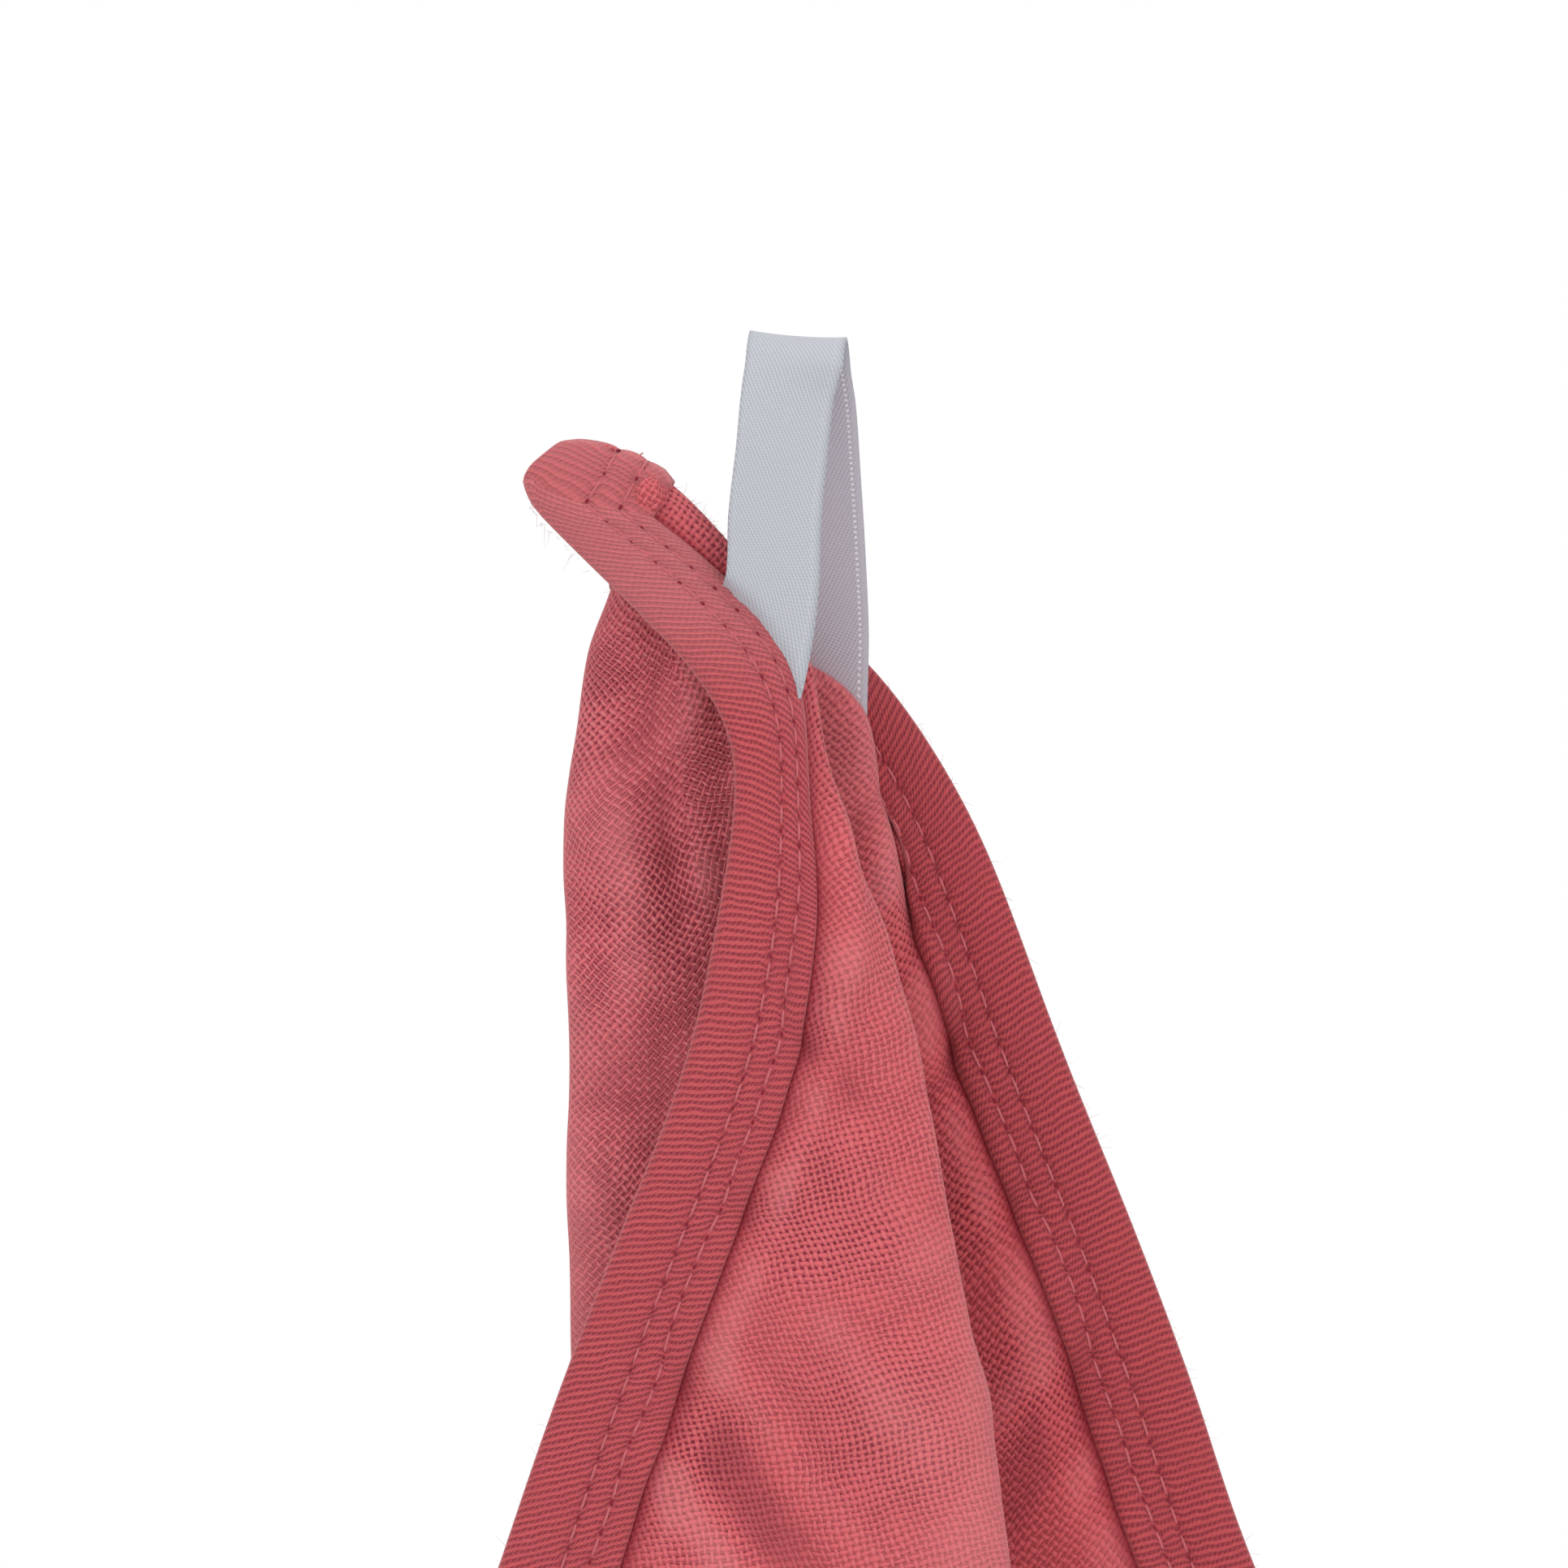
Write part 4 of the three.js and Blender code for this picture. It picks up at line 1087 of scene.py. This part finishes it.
def jersey(name, top, deep, pale):
    """Fine knit: thin ribs across the tape, with small slanted loops in the valleys between them."""
    g = Graph(name, top, 0.88)
    u, v = g.uv()
    flat = g.vector(u, v)
    sway_u, sway_v = g.wander(flat, 0.45, 2)
    across = g.math("ABSOLUTE", v + 1.6)  # the same count of millimetres on both flaps
    seam_at = [BINDING_WIDTH * share for share in (SEAM_OUTER, SEAM_INNER)]
    seams = g.math("MAXIMUM", *(
        g.ramp(g.math("ABSOLUTE", across - (at + 1.6)), 0.0, 0.9, 1.0, 0.0) for at in seam_at
    ))
    crowd = seams * (g.math("SINE", u * (TURN / STITCH_PITCH)) * 0.3)
    between, beyond = (g.ramp(across, at + 1.3, at + 1.9, 0.0, 0.39) for at in seam_at)
    far_side = g.ramp(u, EDGE_LENGTH * 0.5, EDGE_LENGTH * 0.55)
    lean = g.ramp(u, 28, 50) * g.ramp(u, EDGE_LENGTH * 0.44, EDGE_LENGTH * 0.46, 0.75, 0.0) - far_side * 0.2
    pu = (u + sway_u * 0.7 + crowd + (between - beyond + v * lean)) * (1 / RIB_PITCH)
    pv = (v + sway_v * 0.4) * (1 / LOOP_PITCH)
    fu = g.math("FRACT", pu) - 0.5
    narrow = g.ramp(g.math("COSINE", fu * TURN), -0.8, 0.5)
    loop = g.math("SINE", g.math("FRACT", pv + fu * 1.1) * math.pi)
    fibre = g.noise(flat, 7.0, 2)
    height = narrow * 0.75 + loop * 0.4
    # The knit's colour follows its height: painted shade in the valleys and painted light on the ribs
    colour = g.mix(g.ramp(height, 0.05, 0.95), deep, top)
    colour = g.mix(g.ramp(fibre, 0.45, 0.8) * 0.35, colour, pale)
    colour = g.mix(g.ramp(g.noise(flat, 0.2, 2), 0.4, 0.7) * 0.22, colour, shaded(top, 0.8))
    # Painted shade in the seam valleys
    colour = g.mix(seams * 0.3, colour, deep)
    # Painted light on the tab, which faces the lamps, and partly its fuzzier nap: paler near both ends of
    # the tape's length
    tab_light_and_fuzz = g.math("MAXIMUM", g.ramp(u, 12, 34, 1.0, 0.0), g.ramp(u, EDGE_LENGTH - 34, EDGE_LENGTH - 14))
    colour = g.mix(tab_light_and_fuzz * 0.5, colour, pale)
    # Painted shade: the half of the tape past its middle is darker
    colour = g.mix(far_side, colour, (0.88, 0.79, 0.8), "MULTIPLY")
    # Painted sheen where the surface turns away from the eye
    colour = g.mix(g.grazing(0.45, 0.95, 0.6), colour, pale)
    return g.finish(colour, height + fibre * 0.35, 0.22, 0.9, 0.3, (1.0, 0.55, 0.55), 0.45)


def thread_material(name, colour):
    g = Graph(name, colour, 0.55)
    place = Value(g, g.node("ShaderNodeTexCoord").outputs["Object"])
    fibre = g.noise(place, 3500, 2)
    look = g.mix(g.ramp(fibre, 0.3, 0.7), shaded(colour, 0.8), colour)
    return g.finish(look, fibre, 0.05, 0.5, 0.3, (1, 0.8, 0.8))


def ribbon_material():
    """Woven ribbon: fine twill lines, and a column of pale floats near one edge."""
    g = Graph("ribbon_twill", (0.62, 0.67, 0.74), 0.5)
    u, v = g.uv()
    lines = g.math("SINE", (u + v * 0.55) * (TURN / 0.42))
    cross = g.math("SINE", (v - u * 0.2) * (TURN / 0.3))
    fibre = g.noise(g.vector(u * 4.0, v), 3.0, 2)
    height = lines * 0.5 + cross * 0.25
    edge = g.math("MINIMUM", u, RIBBON_WIDTH - u)
    column = g.ramp(edge, 0.75, 0.85) * g.ramp(edge, 1.05, 1.15, 1.0, 0.0)
    column = column * (g.ramp(u, 4.9, 5.0) * g.ramp(v, 40.0, 44.0, 0.12, 1.0))
    floats = column * g.ramp(g.math("SINE", v * (TURN / 0.55)), 0.0, 0.4)
    colour = g.mix(g.ramp(height, -0.7, 0.7), (0.425, 0.445, 0.495), (0.575, 0.585, 0.63))
    colour = g.mix(g.ramp(v, 42.0, 47.0) * 0.75, colour, (0.56, 0.51, 0.58))
    colour = g.mix(floats, colour, (0.85, 0.85, 0.87))
    return g.finish(colour, height + fibre * 0.4, 0.07, 0.6, 0.2, (0.9, 0.9, 1.0))


def touch_material(name, colour, scale, loops):
    """Micro-hooks in rows, or a nap of loops."""
    g = Graph(name, colour, 0.75 if loops else 0.5)
    u, v = g.uv()
    if loops:
        height = g.noise(g.vector(u, v), scale, 4, 0.7)
        lit = g.ramp(height, 0.3, 0.75)
    else:
        height = g.math("SINE", u * (TURN * scale)) * g.math("SINE", v * (TURN * scale))
        lit = g.ramp(height, -0.2, 0.8)
    return g.finish(g.mix(lit, shaded(colour, 0.55), colour), height, 0.3, 0.9, 0.25, (1, 0.7, 0.7))


PALE = srgb("dd8689")
front_muslin = muslin("front_muslin", srgb("e3686f"), srgb("7d2031"), PALE, 1.6, 0.25, 0.31, 0.25)
back_muslin = muslin("back_muslin", srgb("ea7179"), srgb("7c1f31"), PALE, 1.8, 0.13, 0.24, 0.75)
tape_jersey = jersey("tape_jersey", srgb("ce565d"), srgb("94303e"), PALE)
seam_thread = thread_material("seam_thread", srgb("cf6a72"))
touch_hooks = touch_material("touch_hooks", srgb("b94853"), 0.9, False)
touch_loops = touch_material("touch_loops", srgb("c2505b"), 2.2, True)

LOOKS = [
    (front_panel, front_muslin, "front_gauze_panel", "muslin"),
    (back_panel, back_muslin, "back_gauze_panel", "muslin"),
    (binding, tape_jersey, "jersey_binding", "jersey"),
    (outer_stitches, seam_thread, "outer_needle_thread", "thread"),
    (inner_stitches, seam_thread, "inner_needle_thread", "thread"),
    (cover_stitches, seam_thread, "cover_thread", "thread"),
    (hook_pad, touch_hooks, "hook_pad", "touch_hooks"),
    (loop_pad, touch_loops, "loop_pad", "touch_loops"),
    (hook_pad_stitches, seam_thread, "hook_pad_thread", "thread"),
    (loop_pad_stitches, seam_thread, "loop_pad_thread", "thread"),
    (ribbon, ribbon_material(), "hanger_ribbon", "ribbon"),
]
DRESSING = [
    (caught, front_muslin, "muslin"),
    # The needle holes' dark colour is painted shade
    (needle_hole_shade_marks, Graph("needle_hole_shade", srgb("852636"), 0.95).material, "jersey"),
    (fibres, thread_material("fibre", PALE), "muslin"),
    (frayed, thread_material("yarn_end", srgb("cf5c66")), "muslin"),
]
for piece, look, slot in DRESSING:
    piece.data.materials.append(look)
    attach(piece, "cloth")
for piece, look, node, slot in LOOKS:
    piece.data.materials.append(look)
    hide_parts(node)
    if piece is not ribbon:
        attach(piece, "cloth")

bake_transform(ribbon)


def area_light(name, place, size, power):
    data = bpy.data.lights.new(name, "AREA")
    data.shape = "RECTANGLE"
    data.size, data.size_y = size
    data.energy = power
    obj = bpy.data.objects.new(name, data)
    bpy.context.scene.collection.objects.link(obj)
    obj.location = place
    obj.rotation_euler = (Vector(LIT_POINT) - Vector(place)).to_track_quat("-Z", "Y").to_euler()


LIT_POINT = (0, 0, -0.1)
area_light("key", (-0.55, -0.75, 0.35), (0.7, 0.9), 3.2)
area_light("fill", (0.75, -0.55, 0.1), (0.6, 0.9), 2.2)
area_light("top", (0.0, -0.1, 0.8), (0.8, 0.6), 2)

world = bpy.data.worlds.new("studio")
bpy.context.scene.world = world
world.use_nodes = True
tree = world.node_tree
tree.nodes.clear()


def world_node(kind, *sockets):
    """A node of the world, whose first inputs take these sockets."""
    made = tree.nodes.new(kind)
    for source, target in zip(sockets, made.inputs):
        tree.links.new(source, target)
    return made


def background(strength):
    made = world_node("ShaderNodeBackground")
    made.inputs["Color"].default_value = (1, 1, 1, 1)
    made.inputs["Strength"].default_value = strength
    return made.outputs[0]


# White behind the bib, and a softer light on it
rays = world_node("ShaderNodeLightPath").outputs
also = world_node("ShaderNodeMath", rays["Is Glossy Ray"], rays["Is Transmission Ray"])
seen = world_node("ShaderNodeMath", rays["Is Camera Ray"], also.outputs[0])
also.operation = seen.operation = "MAXIMUM"
blend = world_node("ShaderNodeMixShader", seen.outputs[0], background(0.6), background(1.0))
world_node("ShaderNodeOutputWorld", blend.outputs[0])

FLOOR_HALF, FLOOR_HEIGHT = 1800, -400
floor = make_object(
    "floor",
    [(x * FLOOR_HALF, y * FLOOR_HALF, FLOOR_HEIGHT) for x, y in ((-1, -1), (1, -1), (1, 1), (-1, 1))],
    [(0, 1, 2, 3)],
)
floor.data.materials.append(Graph("floor", (0.86, 0.86, 0.86), 0.9).material)

CAMERA_AWAY, PICTURE_WIDTH, SENSOR = 600, 161, 36
camera_data = bpy.data.cameras.new("camera")
camera_data.sensor_width = SENSOR
camera_data.lens = SENSOR * CAMERA_AWAY / PICTURE_WIDTH
camera = bpy.data.objects.new("camera", camera_data)
bpy.context.scene.collection.objects.link(camera)
camera.location = (-0.0016, -CAMERA_AWAY * METRES, -0.0459)
camera.rotation_euler = (math.radians(90), 0, 0)
bpy.context.scene.camera = camera
bpy.context.scene.view_settings.view_transform = "Standard"
